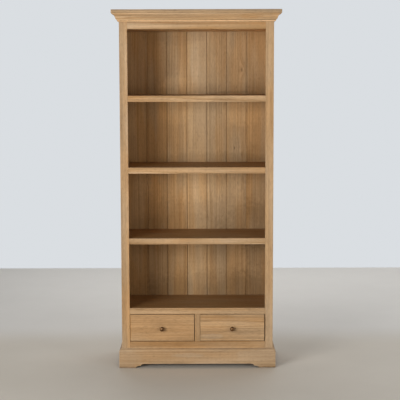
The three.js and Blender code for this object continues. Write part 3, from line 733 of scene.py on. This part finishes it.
def bronze_material():
    """Dark antique bronze, with the patina rubbed off the crown and edges."""
    fittings = bpy.context.scene.bookcase_fittings
    material, wires, own = new_material("antique bronze")
    edges = wires.effect("Worn edges", {"Vector": own, "Width": 1.2 * MM, "Strength": 0.9})
    grime = wires.effect("Joint grime", {"Vector": own, "Reach": 6 * MM, "Strength": 0.9})
    mottle = wires.noise(own, 900.0, 3.0)
    cloud = wires.noise(own, 160.0)
    outward = wires.node("NewGeometry").outputs["Normal"]
    to_back = wires.node("SeparateXYZ", {"Vector": outward}).outputs["Y"]
    crown = wires.ramp(to_back, -0.55, -0.98, 0.0, 0.35)
    rub = wires.times(crown, wires.ramp(cloud, 0.35, 0.65, 0.4, 1.0))
    worn = wires.maths("MAXIMUM", rub, edges["Mask"])
    patina = wires.mix(worn, rgba(fittings.bronze_dark), rgba(fittings.bronze_worn))
    soiled_and_shaded = wires.mix(grime["Mask"], patina, rgba(fittings.bronze_dirt))
    roughness = wires.ramp(mottle, 0.3, 0.7, 0.30, 0.48)
    finish_material(wires, soiled_and_shaded, roughness, mottle, 0.08 * MM, "Metallic", 0.85)
    return material


def steel_material():
    """Plain turned steel with a few dark specks and dirt in its corners."""
    fittings = bpy.context.scene.bookcase_fittings
    material, wires, own = new_material("plain steel")
    specks = wires.noise(own, 1400.0, 3.0)
    grime = wires.effect("Joint grime", {"Vector": own, "Reach": 3 * MM, "Strength": 0.8})
    rust = wires.ramp(specks, 0.55, 0.75, 0.0, 0.6)
    spotted = wires.mix(rust, rgba(fittings.steel), rgba(fittings.steel_specks))
    soiled_and_shaded = wires.mix(grime["Mask"], spotted, rgba(fittings.steel_dirt))
    roughness = wires.ramp(specks, 0.3, 0.7, 0.32, 0.55)
    finish_material(wires, soiled_and_shaded, roughness, specks, 0.05 * MM, "Metallic", 1.0)
    return material


def floor_material():
    """Pale smoothed screed with faint clouds."""
    stage = bpy.context.scene.bookcase_stage
    material, wires, own = new_material("pale screed")
    clouds = wires.noise(own, 1.3, 5.0, 0.55)
    grit = wires.noise(own, 220.0)
    # Painted contact shadow and dust round the case's foot
    grime = wires.effect("Joint grime", {"Vector": own, "Reach": 0.07, "Strength": 0.85})
    # Painted light: the floor turns lighter towards the wall
    inward = wires.node("SeparateXYZ", {"Vector": own}).outputs["Y"]
    painted_light_near_wall = wires.ramp(inward, 0.3, 0.85)
    mixed = wires.mix(painted_light_near_wall, rgba(stage.floor_dark), rgba(stage.floor_painted_light))
    uneven = wires.plus(wires.times(grit, 0.4), wires.times(clouds, 0.6))
    cloudy = wires.vector("SCALE", mixed, scale=wires.plus(wires.swing(uneven, 0.24), 1.0))
    soiled_and_shaded = wires.mix(grime["Mask"], cloudy, rgba(stage.floor_dust_and_shadow))
    roughness = wires.ramp(clouds, 0.3, 0.7, 0.75, 0.6)
    finish_material(wires, soiled_and_shaded, roughness, grit, 0.2 * MM, "Metallic", 0.0)
    return material


# Boards

EVEN = (0, 0, 0)
# How far a board's heart line lies from its middle: through its thickness in metres, and up to
# this share of its width
HEART_DEPTHS = (0.045, 0.11)
HEART_SHIFT = 0.35
SEED_RANGE = 50.0
# Corners this near and faces this flat are joined, and edges sharper than this are rounded
JOINED_DISTANCE = 0.01 * MM
FLAT_ANGLE = math.radians(0.3)
SHARP_ANGLE = math.radians(35)


def give_grain(
    piece, low, high, run, tone, blush, tone_slope=EVEN, blush_slope=EVEN, figure=1.0, wear=1.0
):
    """Gives a piece its own heart line, seed and looks, which the wood material reads.

    A slope is how much the tone or the blush rises per metre along X, Y and Z. The figure is
    how strongly the grain shows.
    """
    draw = random.Random(piece.name)
    centre = (low + high) / 2
    across = [axis for axis in range(3) if axis != "XYZ".index(run)]
    thick, wide = sorted(across, key=lambda axis: high[axis] - low[axis])
    heart = centre.copy()
    heart[thick] += draw.choice((-1, 1)) * draw.uniform(*HEART_DEPTHS)
    heart[wide] += draw.uniform(-HEART_SHIFT, HEART_SHIFT) * (high[wide] - low[wide])
    piece["heart"] = list(heart)
    piece["seed"] = draw.uniform(0.0, SEED_RANGE)
    for label, value, slope in (("tone", tone, tone_slope), ("blush", blush, blush_slope)):
        piece[f"{label}_slope"] = [float(part) for part in slope]
        piece[label] = value - (centre - heart).dot(Vector(slope))
    piece["wear"] = wear
    piece["figure"] = figure


def add_arris(piece, width, smooth=False):
    """Rounds a piece's sharp edges, as a plane and sandpaper would."""
    bevel = piece.modifiers.new("arris", "BEVEL")
    bevel.width = width
    bevel.segments = 2
    bevel.limit_method = "ANGLE"
    bevel.angle_limit = SHARP_ANGLE
    bevel.use_clamp_overlap = False
    bevel.harden_normals = smooth


def clean_faces(piece):
    """Joins the corners and flat faces of a CAD mesh, so that an arris can follow its edges."""
    weld = piece.modifiers.new("joined corners", "WELD")
    weld.merge_threshold = JOINED_DISTANCE
    flat = piece.modifiers.new("joined faces", "DECIMATE")
    flat.decimate_type = "DISSOLVE"
    flat.angle_limit = FLAT_ANGLE


def dress(node, finish, run, arris, tone=1.0, blush=0.0, *look, **more):
    """Gives a CAD board its grain, its arris and its finish."""
    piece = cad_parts[node]
    give_grain(piece, *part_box(node), run, tone, blush, *look, **more)
    clean_faces(piece)
    if arris:
        add_arris(piece, arris)
    piece.material_slots[0].material = wood_material(finish, run)


def new_piece(name, mesh, material, slot, body, *replaced):
    """Puts a finished mesh in the scene as a piece that rides on a body."""
    piece = bpy.data.objects.new(name, mesh)
    bpy.context.scene.collection.objects.link(piece)
    mesh.materials.append(material)
    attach(piece, body)
    if replaced:
        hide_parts(*replaced)
    return piece


# Shapes


def arc(centre, radii, first, last, steps):
    """Points of an ellipse from one quarter turn to another."""
    points = []
    for i in range(steps + 1):
        turn = math.radians(90) * (first + (last - first) * i / steps)
        x, y = radii[0] * math.cos(turn), radii[1] * math.sin(turn)
        points.append((centre[0] + x, centre[1] + y))
    return points


def bowed(start, end, depth, steps):
    """Points of a shallow curve between two places, bowed to the left of its way by a depth."""
    start, end = Vector(start), Vector(end)
    aside = (end - start).orthogonal().normalized()
    points = []
    for i in range(steps + 1):
        way = i / steps
        points.append(tuple(start.lerp(end, way) + aside * (4 * depth * way * (1 - way))))
    return points


def finished_mesh(shape, name, smooth=True):
    """The mesh of a finished shape, with its faces turned outward."""
    bmesh.ops.recalc_face_normals(shape, faces=shape.faces)
    mesh = bpy.data.meshes.new(name)
    shape.to_mesh(mesh)
    shape.free()
    mesh.polygons.foreach_set("use_smooth", [smooth] * len(mesh.polygons))
    return mesh


def add_ring(shape, centre, radius, depth, sides):
    """Adds a ring of corners round an axis along Y, or one corner for a radius of nought."""
    if radius == 0:
        return [shape.verts.new((centre[0], depth, centre[1]))]
    turns = [math.tau * i / sides for i in range(sides)]
    return [
        shape.verts.new((
            centre[0] + radius * math.cos(turn), depth, centre[1] + radius * math.sin(turn)
        ))
        for turn in turns
    ]


def join_rings(shape, near, far, sides):
    """Adds the faces between two rings of corners."""
    for i in range(sides):
        j = (i + 1) % sides
        corners = [near[i % len(near)], near[j % len(near)], far[j % len(far)], far[i % len(far)]]
        shape.faces.new(list(dict.fromkeys(corners)))


def moulded_mesh(name, profile, to_point, corners, mitre, half_arch):
    """A moulded length with mitred ends.

    The profile is a closed line of (projection, height) points that starts at the inner foot and
    goes out and up. corners gives the length's two corners at a projection, and the mitre is
    taken off there. The half arch is a line of (way from a corner, height) points, and it and
    its mirror image are cut from the foot.
    """
    shape = bmesh.new()
    rows = []
    for projection, height in profile:
        start, end = corners(projection)
        ends = (start + mitre, end - mitre)
        rows.append([shape.verts.new(to_point(at, projection, height)) for at in ends])
    start, end = corners(profile[1][0])
    arch = [(start + at, height) for at, height in half_arch]
    arch += [(end - at, height) for at, height in reversed(half_arch)]
    inner_foot, outer_foot = (
        [
            row[0],
            *[shape.verts.new(to_point(at, projection, height)) for at, height in arch],
            row[1],
        ]
        for row, (projection, _) in zip(rows[:2], profile)
    )
    shape.faces.new([row[0] for row in reversed(rows)])
    shape.faces.new([row[1] for row in rows])
    for a, b, c, d in zip(inner_foot, inner_foot[1:], outer_foot[1:], outer_foot):
        shape.faces.new([a, b, c, d])
    shape.faces.new([*outer_foot, rows[2][1], rows[2][0]])
    for lower, upper in zip(rows[2:], rows[3:]):
        shape.faces.new([lower[0], lower[1], upper[1], upper[0]])
    shape.faces.new([*reversed(inner_foot), rows[-1][0], rows[-1][1]])
    return finished_mesh(shape, name)


def run_of(hand, case_side, case_front, case_back):
    """How a front, left or right length lies: where a point goes, and its corners."""
    if hand == "front":
        return (
            lambda at, projection, height: (at, case_front - projection, height),
            lambda projection: (-case_side - projection, case_side + projection),
        )
    side = -1 if hand == "left" else 1
    return (
        lambda at, projection, height: (side * (case_side + projection), at, height),
        lambda projection: (case_front - projection, case_back),
    )


def moulding_lines(part):
    """A moulding's gap to the case, its reach in front of it, and its foot and top heights."""
    case_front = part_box("stile_left")[0].y
    low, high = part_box(f"{part}_front")
    return case_front - high.y, case_front - low.y, low.z, high.z


def make_lengths(part, noun, profile, tones, blush, figure, half_arch=()):
    """Makes the front, left and right lengths of a moulding that goes round the case."""
    case_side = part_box("side_panel_right")[1].x
    case_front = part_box("stile_left")[0].y
    case_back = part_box(f"{part}_left")[1].y
    gap = moulding_lines(part)[0]
    for hand, tone in zip(("front", "left", "right"), tones):
        run, mitre = ("X", gap * math.sqrt(2)) if hand == "front" else ("Y", 0.0)
        name = f"{part}_{hand}_{noun}"
        lie = run_of(hand, case_side, case_front, case_back)
        mesh = moulded_mesh(name, profile, *lie, mitre, half_arch)
        material = wood_material("moulding_wood", run)
        piece = new_piece(name, mesh, material, "moulding_wood", "carcass", f"{part}_{hand}")
        give_grain(piece, *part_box(f"{part}_{hand}"), run, tone, blush, figure=figure)
        add_arris(piece, bpy.context.scene.bookcase_mouldings.arris, smooth=True)


# Operators

HANDS = ("left", "right")
# Each board: run of the grain, tone, blush, how much the tone and the blush rise per metre, and
# how strongly the grain shows
FACE_FRAME_LOOKS = (
    ("stile_left", "Z", 0.915, -0.1, (5.0, 0, 0), (16.0, 0, 0), 1.0),
    ("stile_right", "Z", 1.0, -0.3, EVEN, (0, 0, 0.35), 1.0),
    ("drawer_muntin", "Z", 0.80, 0.5, EVEN, EVEN, 1.0),
    ("top_rail", "X", 0.93, -0.15, (-0.02, 0, 0), (2.8, 0, 0), 2.6),
    ("drawer_rail", "X", 0.91, 0.0, EVEN, EVEN, 2.3),
    ("bottom_rail", "X", 0.82, 0.5, EVEN, EVEN, 1.0),
    ("shelf_rail_1", "X", 0.915, -0.35, (0.46, 0, 0), (-0.8, 0, 0), 2.5),
    ("shelf_rail_2", "X", 1.045, -0.05, (-0.08, 0, 0), EVEN, 2.2),
    ("shelf_rail_3", "X", 0.98, -0.15, (0.12, 0, 0), (-0.7, 0, 0), 2.3),
)
# The shelves' and the compartment floor's low tone, warm blush and darkening to the right are
# painted shade; the ceiling panel's high tone, rising to the right, is painted light on its
# underside
SHELF_LOOKS = (
    ("shelf_3", "X", 0.70, 0.9, (-0.20, 0, 0), EVEN, 1.3),
    ("shelf_2", "X", 0.70, 0.9, (-0.20, 0, 0), EVEN, 1.3),
    ("shelf_1", "X", 0.69, 0.9, (-0.22, 0, 0), EVEN, 1.3),
    ("compartment_floor", "X", 0.64, 0.9, (-0.12, 0, 0), EVEN, 1.3),
    ("base_board", "X", 0.80, 0.6, EVEN, EVEN, 1.0),
    ("ceiling_panel", "X", 1.18, 0.6, (0.5, 0, 0), EVEN, 1.0),
    ("drawer_divider", "Y", 0.9, 0.0, EVEN, EVEN, 1.0),
)
# Tone, blush and the tone's rise per metre of height of each back plank, from the left
# The warm blush of the two left planks paints the warmer colour of their shade, and
# PLANK_BLUSH_RISE paints the same warmth lower down
PLANK_LOOKS = (
    (0.98, 0.9, 0.04),
    (0.98, 0.8, 0.04),
    (1.04, 0.35, 0.04),
    (1.09, -0.1, 0.03),
    (0.98, -0.05, 0.03),
    (1.00, 0.05, 0.02),
    (0.93, 0.35, 0.02),
)
PLANK_BLUSH_RISE = -0.2


class BOOKCASE_OT_face_frame(bpy.types.Operator):
    """Dress the stiles, rails and muntin of the face frame"""

    bl_idname = "bookcase.face_frame"
    bl_label = "Face frame"

    def execute(self, context):
        for node, run, *look in FACE_FRAME_LOOKS:
            dress(node, "face_wood", run, context.scene.bookcase_wood.frame_arris, *look)
        return {"FINISHED"}


class BOOKCASE_OT_side_panels(bpy.types.Operator):
    """Dress the two side panels"""

    bl_idname = "bookcase.side_panels"
    bl_label = "Side panels"

    def execute(self, context):
        arris = context.scene.bookcase_wood.case_arris
        for hand, blush in zip(HANDS, (0.1, -0.1)):
            dress(f"side_panel_{hand}", "face_wood", "Z", arris, 0.97, blush)
        return {"FINISHED"}


class BOOKCASE_OT_shelves(bpy.types.Operator):
    """Dress the shelves, floors and ceiling"""

    bl_idname = "bookcase.shelves"
    bl_label = "Shelves"

    def execute(self, context):
        for node, run, *look in SHELF_LOOKS:
            dress(node, "shelf_wood", run, context.scene.bookcase_wood.board_arris, *look)
        return {"FINISHED"}


class BOOKCASE_OT_back(bpy.types.Operator):
    """Dress the planks of the back and the rail behind the base"""

    bl_idname = "bookcase.back"
    bl_label = "Back"

    def execute(self, context):
        for i, (tone, blush, tone_rise) in enumerate(PLANK_LOOKS, 1):
            slopes = (0, 0, tone_rise), (0, 0, PLANK_BLUSH_RISE)
            dress(f"back_plank_{i}", "back_wood", "Z", 0, tone, blush, *slopes)
        dress("back_rail", "back_wood", "X", context.scene.bookcase_wood.board_arris)
        return {"FINISHED"}


NAILED_BOARDS = (
    "ceiling_panel",
    "shelf_3",
    "shelf_2",
    "shelf_1",
    "compartment_floor",
    "base_board",
    "back_rail",
)
NAIL_SIDES = 16
# How far a nail goes on past its dent, and how far the dent's cutter stands out of the plank
NAIL_REACH = 2 * MM


def nail_places(inset, sway):
    """Two nails in each plank at every board that the planks are fixed to."""
    heights = [(low.z + high.z) / 2 for low, high in map(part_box, NAILED_BOARDS)]
    draw = random.Random("nails")
    places = []
    for i in range(1, PLANKS + 1):
        low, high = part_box(f"back_plank_{i}")
        for height in heights:
            for across in (low.x + inset, high.x - inset):
                x = across + draw.uniform(-1, 1) * sway
                places.append((x, height + draw.uniform(-1, 1) * sway))
    return places


def columns_mesh(name, places, radius, near, far):
    """One mesh of short closed columns along Y."""
    shape = bmesh.new()
    for place in places:
        front, back = (add_ring(shape, place, radius, at, NAIL_SIDES) for at in (near, far))
        shape.faces.new(front)
        shape.faces.new(list(reversed(back)))
        join_rings(shape, back, front, NAIL_SIDES)
    return finished_mesh(shape, name, smooth=False)


class BOOKCASE_OT_back_nails(bpy.types.Operator):
    """Punch nails through the planks into the boards behind them"""

    bl_idname = "bookcase.back_nails"
    bl_label = "Back nails"

    def execute(self, context):
        nail = context.scene.bookcase_fittings
        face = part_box("back_plank_1")[1].y
        foot = face - nail.nail_depth
        places = nail_places(nail.nail_inset, nail.nail_sway)
        holes = columns_mesh("nail_holes", places, nail.nail_hole, foot, face + NAIL_REACH)
        cutter = bpy.data.objects.new("nail_holes", holes)
        context.scene.collection.objects.link(cutter)
        cutter.hide_render = cutter.hide_viewport = True
        for i in range(1, PLANKS + 1):
            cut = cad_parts[f"back_plank_{i}"].modifiers.new("nail holes", "BOOLEAN")
            cut.operation, cut.solver, cut.object = "DIFFERENCE", "EXACT", cutter
        ends = foot - NAIL_REACH, face - nail.nail_top
        heads = columns_mesh("back_nails", places, nail.nail_head, *ends)
        nails = new_piece("back_nails", heads, steel_material(), "screw_steel", "carcass")
        add_arris(nails, nail.nail_arris)
        return {"FINISHED"}


class BOOKCASE_OT_cornice(bpy.types.Operator):
    """Dress the top board and make its mitred mouldings"""

    bl_idname = "bookcase.cornice"
    bl_label = "Cornice"

    def execute(self, context):
        sizes = context.scene.bookcase_mouldings
        look = dict(figure=1.3, wear=0.3)
        dress("top_board", "moulding_wood", "X", sizes.top_arris, 0.97, -0.45, **look)
        gap, outer, low, high = moulding_lines("cornice")
        half_bead = sizes.bead_height / 2
        bead_centre = (sizes.bead_projection - sizes.bead_rounding, low + half_bead)
        foot = (sizes.ogee_foot, low + sizes.bead_height)
        waist = (sizes.ogee_waist, foot[1] + sizes.ogee_waist_height)
        top = (outer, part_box("top_board")[0].z - sizes.fillet_height)
        profile = [
            (gap, low),
            *arc(bead_centre, (sizes.bead_rounding, half_bead), 3, 5, sizes.arc_steps),
            *bowed(foot, waist, -sizes.ogee_swell, sizes.arc_steps),
            *bowed(waist, top, sizes.ogee_hollow, sizes.arc_steps)[1:],
            (outer, high),
            (gap, high),
        ]
        make_lengths("cornice", "moulding", profile, (1.08, 0.98, 0.98), -0.35, 2.5)
        return {"FINISHED"}


class BOOKCASE_OT_plinth(bpy.types.Operator):
    """Make the moulded plinth boards on their bracket feet and dress the corner blocks"""

    bl_idname = "bookcase.plinth"
    bl_label = "Plinth"

    def execute(self, context):
        sizes = context.scene.bookcase_mouldings
        gap, outer, _, high = moulding_lines("plinth")
        slope_top = high - sizes.plinth_fillet_height
        slope_ends = (outer, slope_top - sizes.slope_height), (sizes.slope_start, slope_top)
        profile = [
            (gap, 0.0),
            (outer, 0.0),
            *bowed(*slope_ends, -sizes.slope_swell, sizes.arc_steps),
            (sizes.plinth_fillet, slope_top),
            (sizes.plinth_fillet, high),
            (gap, high),
        ]
        foot, cove, rise = sizes.foot_length, sizes.arch_cove, sizes.arch_height / 2
        half_arch = [
            *arc((foot + cove, 0.0), (cove, rise), 2, 1, sizes.arc_steps),
            *arc((foot + 2 * cove + sizes.arch_flat, rise), (cove, rise), 2, 1, sizes.arc_steps),
        ]
        make_lengths("plinth", "board", profile, (0.85, 0.93, 0.93), -0.3, 1.15, half_arch)
        arris = context.scene.bookcase_wood.board_arris
        for end in ("front", "back"):
            for hand in HANDS:
                dress(f"corner_block_{end}_{hand}", "drawer_wood", "Z", arris, 0.9)
        return {"FINISHED"}


class BOOKCASE_OT_running_gear(bpy.types.Operator):
    """Dress the guides, kickers and stops of the drawers"""

    bl_idname = "bookcase.running_gear"
    bl_label = "Running gear"

    def execute(self, context):
        arris = context.scene.bookcase_wood.board_arris
        for hand in HANDS:
            for part in ("drawer_guide", "outer_kicker", "inner_kicker"):
                dress(f"{part}_{hand}", "drawer_wood", "Y", arris, 0.92)
            dress(f"drawer_stop_{hand}", "drawer_wood", "X", arris, 0.92)
        return {"FINISHED"}


class BOOKCASE_OT_drawer_fronts(bpy.types.Operator):
    """Dress the two drawer fronts"""

    bl_idname = "bookcase.drawer_fronts"
    bl_label = "Drawer fronts"

    def execute(self, context):
        arris = context.scene.bookcase_wood.case_arris
        dress("left_drawer_front", "face_wood", "X", arris, 0.90)
        look = dict(blush_slope=(0.9, 0, 0), figure=2.6)
        dress("right_drawer_front", "face_wood", "X", arris, 0.95, -0.2, **look)
        return {"FINISHED"}


class BOOKCASE_OT_drawer_boxes(bpy.types.Operator):
    """Dress the sides, backs and bottoms of the drawers"""

    bl_idname = "bookcase.drawer_boxes"
    bl_label = "Drawer boxes"

    def execute(self, context):
        wood = context.scene.bookcase_wood
        for hand in HANDS:
            for side in HANDS:
                dress(f"{hand}_drawer_side_{side}", "drawer_wood", "Y", wood.fine_arris)
            dress(f"{hand}_drawer_back", "drawer_wood", "X", wood.case_arris)
            dress(f"{hand}_drawer_bottom", "drawer_wood", "X", wood.fine_arris, 1.03)
        return {"FINISHED"}


KNOB_SIDES, DOME_STEPS, HOLLOW_STEPS = 48, 15, 9
# Two steps of a knob's rim: how far in from the head's edge, and how far behind the crown
KNOB_RIM = ((0.2 * MM, 8.6 * MM), (1.2 * MM, 9.6 * MM))
# The hollow behind a knob's head ends at this radius and goes this far back
KNOB_NECK, KNOB_HOLLOW = 5.0 * MM, 5.4 * MM
# A knob's stem and foot plate: radius, and distance in front of its foot
KNOB_STEM = (
    (4.6 * MM, 7.5 * MM),
    (4.6 * MM, 5.4 * MM),
    (5.6 * MM, 4.6 * MM),
    (7.6 * MM, 3.9 * MM),
    (8.6 * MM, 3.0 * MM),
    (9.0 * MM, 2.0 * MM),
    (9.0 * MM, 0.0),
    (0.0, 0.0),
)


def knob_profile(head, crown, foot, dome):
    """A knob's outline from its crown to its foot, as (radius, depth) points."""
    step, rim = KNOB_RIM[-1]
    hollow = (head - step - KNOB_NECK, KNOB_HOLLOW)
    return [
        (0.0, crown),
        *arc((0.0, crown + dome), (head, dome), -1, 0, DOME_STEPS)[1:],
        *[(head - inward, crown + depth) for inward, depth in KNOB_RIM],
        *arc((KNOB_NECK, crown + rim), hollow, 0, 1, HOLLOW_STEPS)[1:],
        *[(radius, foot - height) for radius, height in KNOB_STEM],
    ]


class BOOKCASE_OT_knobs(bpy.types.Operator):
    """Turn a bronze knob for each drawer"""

    bl_idname = "bookcase.knobs"
    bl_label = "Knobs"

    def execute(self, context):
        fittings = context.scene.bookcase_fittings
        bronze = bronze_material()
        for hand in HANDS:
            low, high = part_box(f"{hand}_drawer_knob")
            centre = ((low.x + high.x) / 2, (low.z + high.z) / 2)
            profile = knob_profile((high.x - low.x) / 2, low.y, high.y, fittings.dome)
            shape = bmesh.new()
            rings = [add_ring(shape, centre, *point, KNOB_SIDES) for point in profile]
            for near, far in zip(rings, rings[1:]):
                join_rings(shape, near, far, KNOB_SIDES)
            name = f"{hand}_bronze_knob"
            mesh = finished_mesh(shape, name)
            body, node = f"drawer_{hand}", f"{hand}_drawer_knob"
            knob = new_piece(name, mesh, bronze, "knob_bronze", body, node)
            add_arris(knob, fittings.knob_arris, smooth=True)
        return {"FINISHED"}


class BOOKCASE_OT_knob_screws(bpy.types.Operator):
    """Finish the slotted screws that hold the knobs"""

    bl_idname = "bookcase.knob_screws"
    bl_label = "Knob screws"

    def execute(self, context):
        steel = bpy.data.materials.get("plain steel") or steel_material()
        for hand in HANDS:
            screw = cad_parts[f"{hand}_drawer_knob_screw"]
            clean_faces(screw)
            screw.material_slots[0].material = steel
        return {"FINISHED"}


def lay_floor(scene):
    """A flat floor that ends at the wall."""
    stage = scene.bookcase_stage
    side, front, back = stage.floor_side, -stage.floor_front, stage.floor_back
    corners = [(-side, front, 0), (side, front, 0), (side, back, 0), (-side, back, 0)]
    mesh = bpy.data.meshes.new("floor")
    mesh.from_pydata(corners, [], [(0, 1, 2, 3)])
    mesh.materials.append(floor_material())
    floor = bpy.data.objects.new("floor", mesh)
    scene.collection.objects.link(floor)


def soft_light(name, power, size, place, target, tint):
    """Hangs a large soft lamp that the camera doesn't see."""
    lamp = bpy.data.lights.new(name, "AREA")
    lamp.shape = "RECTANGLE"
    lamp.size, lamp.size_y = size
    lamp.energy = power
    lamp.color = tint
    holder = bpy.data.objects.new(name, lamp)
    holder.location = place
    holder.rotation_euler = (Vector(target) - Vector(place)).to_track_quat("-Z", "Y").to_euler()
    holder.visible_camera = False
    bpy.context.scene.collection.objects.link(holder)


def hang_lights(stage):
    """Hangs the lamps. Each row: name, power setting, size, place, target and tint."""
    case = (0.0, 0.0, 1.2)
    wall = stage.floor_back - 0.1
    for name, power, *lie in (
        ("window light", "key", (2.2, 1.8), (-2.9, -4.2, 1.45), case, (1.0, 0.985, 0.96)),
        ("fill light", "fill", (1.6, 1.4), (3.6, -4.0, 1.35), case, (1.0, 0.99, 0.97)),
        ("wall glow", "wall", (9.0, 2.4), (2.6, wall, 2.3), (2.6, 0.8, 0.0), (1.0, 0.99, 0.98)),
        ("top light", "top", (0.9, 0.45), (0.0, 0.0, 2.6), (0.0, 0.001, 0.0), (1.0, 0.99, 0.97)),
    ):
        soft_light(name, getattr(stage, f"{power}_power"), *lie)


def light_room(scene):
    """Room light from all round, with a pale wall where the camera looks past the floor."""
    stage = scene.bookcase_stage
    world = bpy.data.worlds.new("room")
    world.use_nodes = True
    world.node_tree.nodes.clear()
    wires = Wiring(world.node_tree)
    room = wires.node("Background", {"Color": rgba(stage.room), "Strength": stage.ambient})
    wall = wires.node("Background", {"Color": rgba(stage.wall), "Strength": 1.0})
    seen = wires.node("LightPath").outputs["Is Camera Ray"]
    both = wires.node("MixShader", {0: seen, 1: room.outputs[0], 2: wall.outputs[0]})
    wires.node("OutputWorld", {"Surface": both.outputs[0]})
    scene.world = world


def place_camera(scene):
    """Puts the camera in front of the face frame, where the photo was taken from."""
    stage = scene.bookcase_stage
    lens = bpy.data.cameras.new("camera")
    lens.sensor_width = 36
    lens.lens = stage.camera_lens
    camera = bpy.data.objects.new("camera", lens)
    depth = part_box("stile_left")[0].y - stage.camera_distance
    camera.matrix_world = (
        Matrix.Translation((stage.camera_side, depth, stage.camera_height))
        @ Euler((math.radians(90) - stage.camera_pitch, 0, 0)).to_matrix().to_4x4()
        @ Matrix.Rotation(-stage.camera_roll, 4, "Z")
    )
    scene.collection.objects.link(camera)
    scene.camera = camera


class BOOKCASE_OT_stage(bpy.types.Operator):
    """Lay the floor, hang the soft lights and place the camera"""

    bl_idname = "bookcase.stage"
    bl_label = "Stage"

    def execute(self, context):
        context.scene.view_settings.view_transform = "Standard"
        lay_floor(context.scene)
        hang_lights(context.scene.bookcase_stage)
        light_room(context.scene)
        place_camera(context.scene)
        return {"FINISHED"}


STEPS = (
    BOOKCASE_OT_face_frame,
    BOOKCASE_OT_side_panels,
    BOOKCASE_OT_shelves,
    BOOKCASE_OT_back,
    BOOKCASE_OT_back_nails,
    BOOKCASE_OT_cornice,
    BOOKCASE_OT_plinth,
    BOOKCASE_OT_running_gear,
    BOOKCASE_OT_drawer_fronts,
    BOOKCASE_OT_drawer_boxes,
    BOOKCASE_OT_knobs,
    BOOKCASE_OT_knob_screws,
    BOOKCASE_OT_stage,
)
SETTINGS = {
    "bookcase_wood": BookcaseWood,
    "bookcase_mouldings": BookcaseMouldings,
    "bookcase_fittings": BookcaseFittings,
    "bookcase_stage": BookcaseStage,
}


class BOOKCASE_PT_sidebar(bpy.types.Panel):
    """Lists the bookcase's settings and steps"""

    bl_idname = "BOOKCASE_PT_sidebar"
    bl_label = "Bookcase with bottom drawers"
    bl_space_type = "VIEW_3D"
    bl_region_type = "UI"
    bl_category = "Bookcase"

    def draw(self, context):
        for step in STEPS:
            self.layout.operator(step.bl_idname)
        for name, kind in SETTINGS.items():
            box = self.layout.box()
            box.label(text=kind.__name__.replace("Bookcase", ""))
            for setting in kind.__annotations__:
                box.prop(getattr(context.scene, name), setting)


def register():
    for name, kind in SETTINGS.items():
        bpy.utils.register_class(kind)
        setattr(bpy.types.Scene, name, bpy.props.PointerProperty(type=kind))
    for kind in (*STEPS, BOOKCASE_PT_sidebar):
        bpy.utils.register_class(kind)


def unregister():
    for kind in reversed((*STEPS, BOOKCASE_PT_sidebar)):
        bpy.utils.unregister_class(kind)
    for name, kind in reversed(SETTINGS.items()):
        delattr(bpy.types.Scene, name)
        bpy.utils.unregister_class(kind)


def main():
    register()
    for step in STEPS:
        group, name = step.bl_idname.split(".")
        getattr(getattr(bpy.ops, group), name)()


if __name__ == "__main__":
    main()
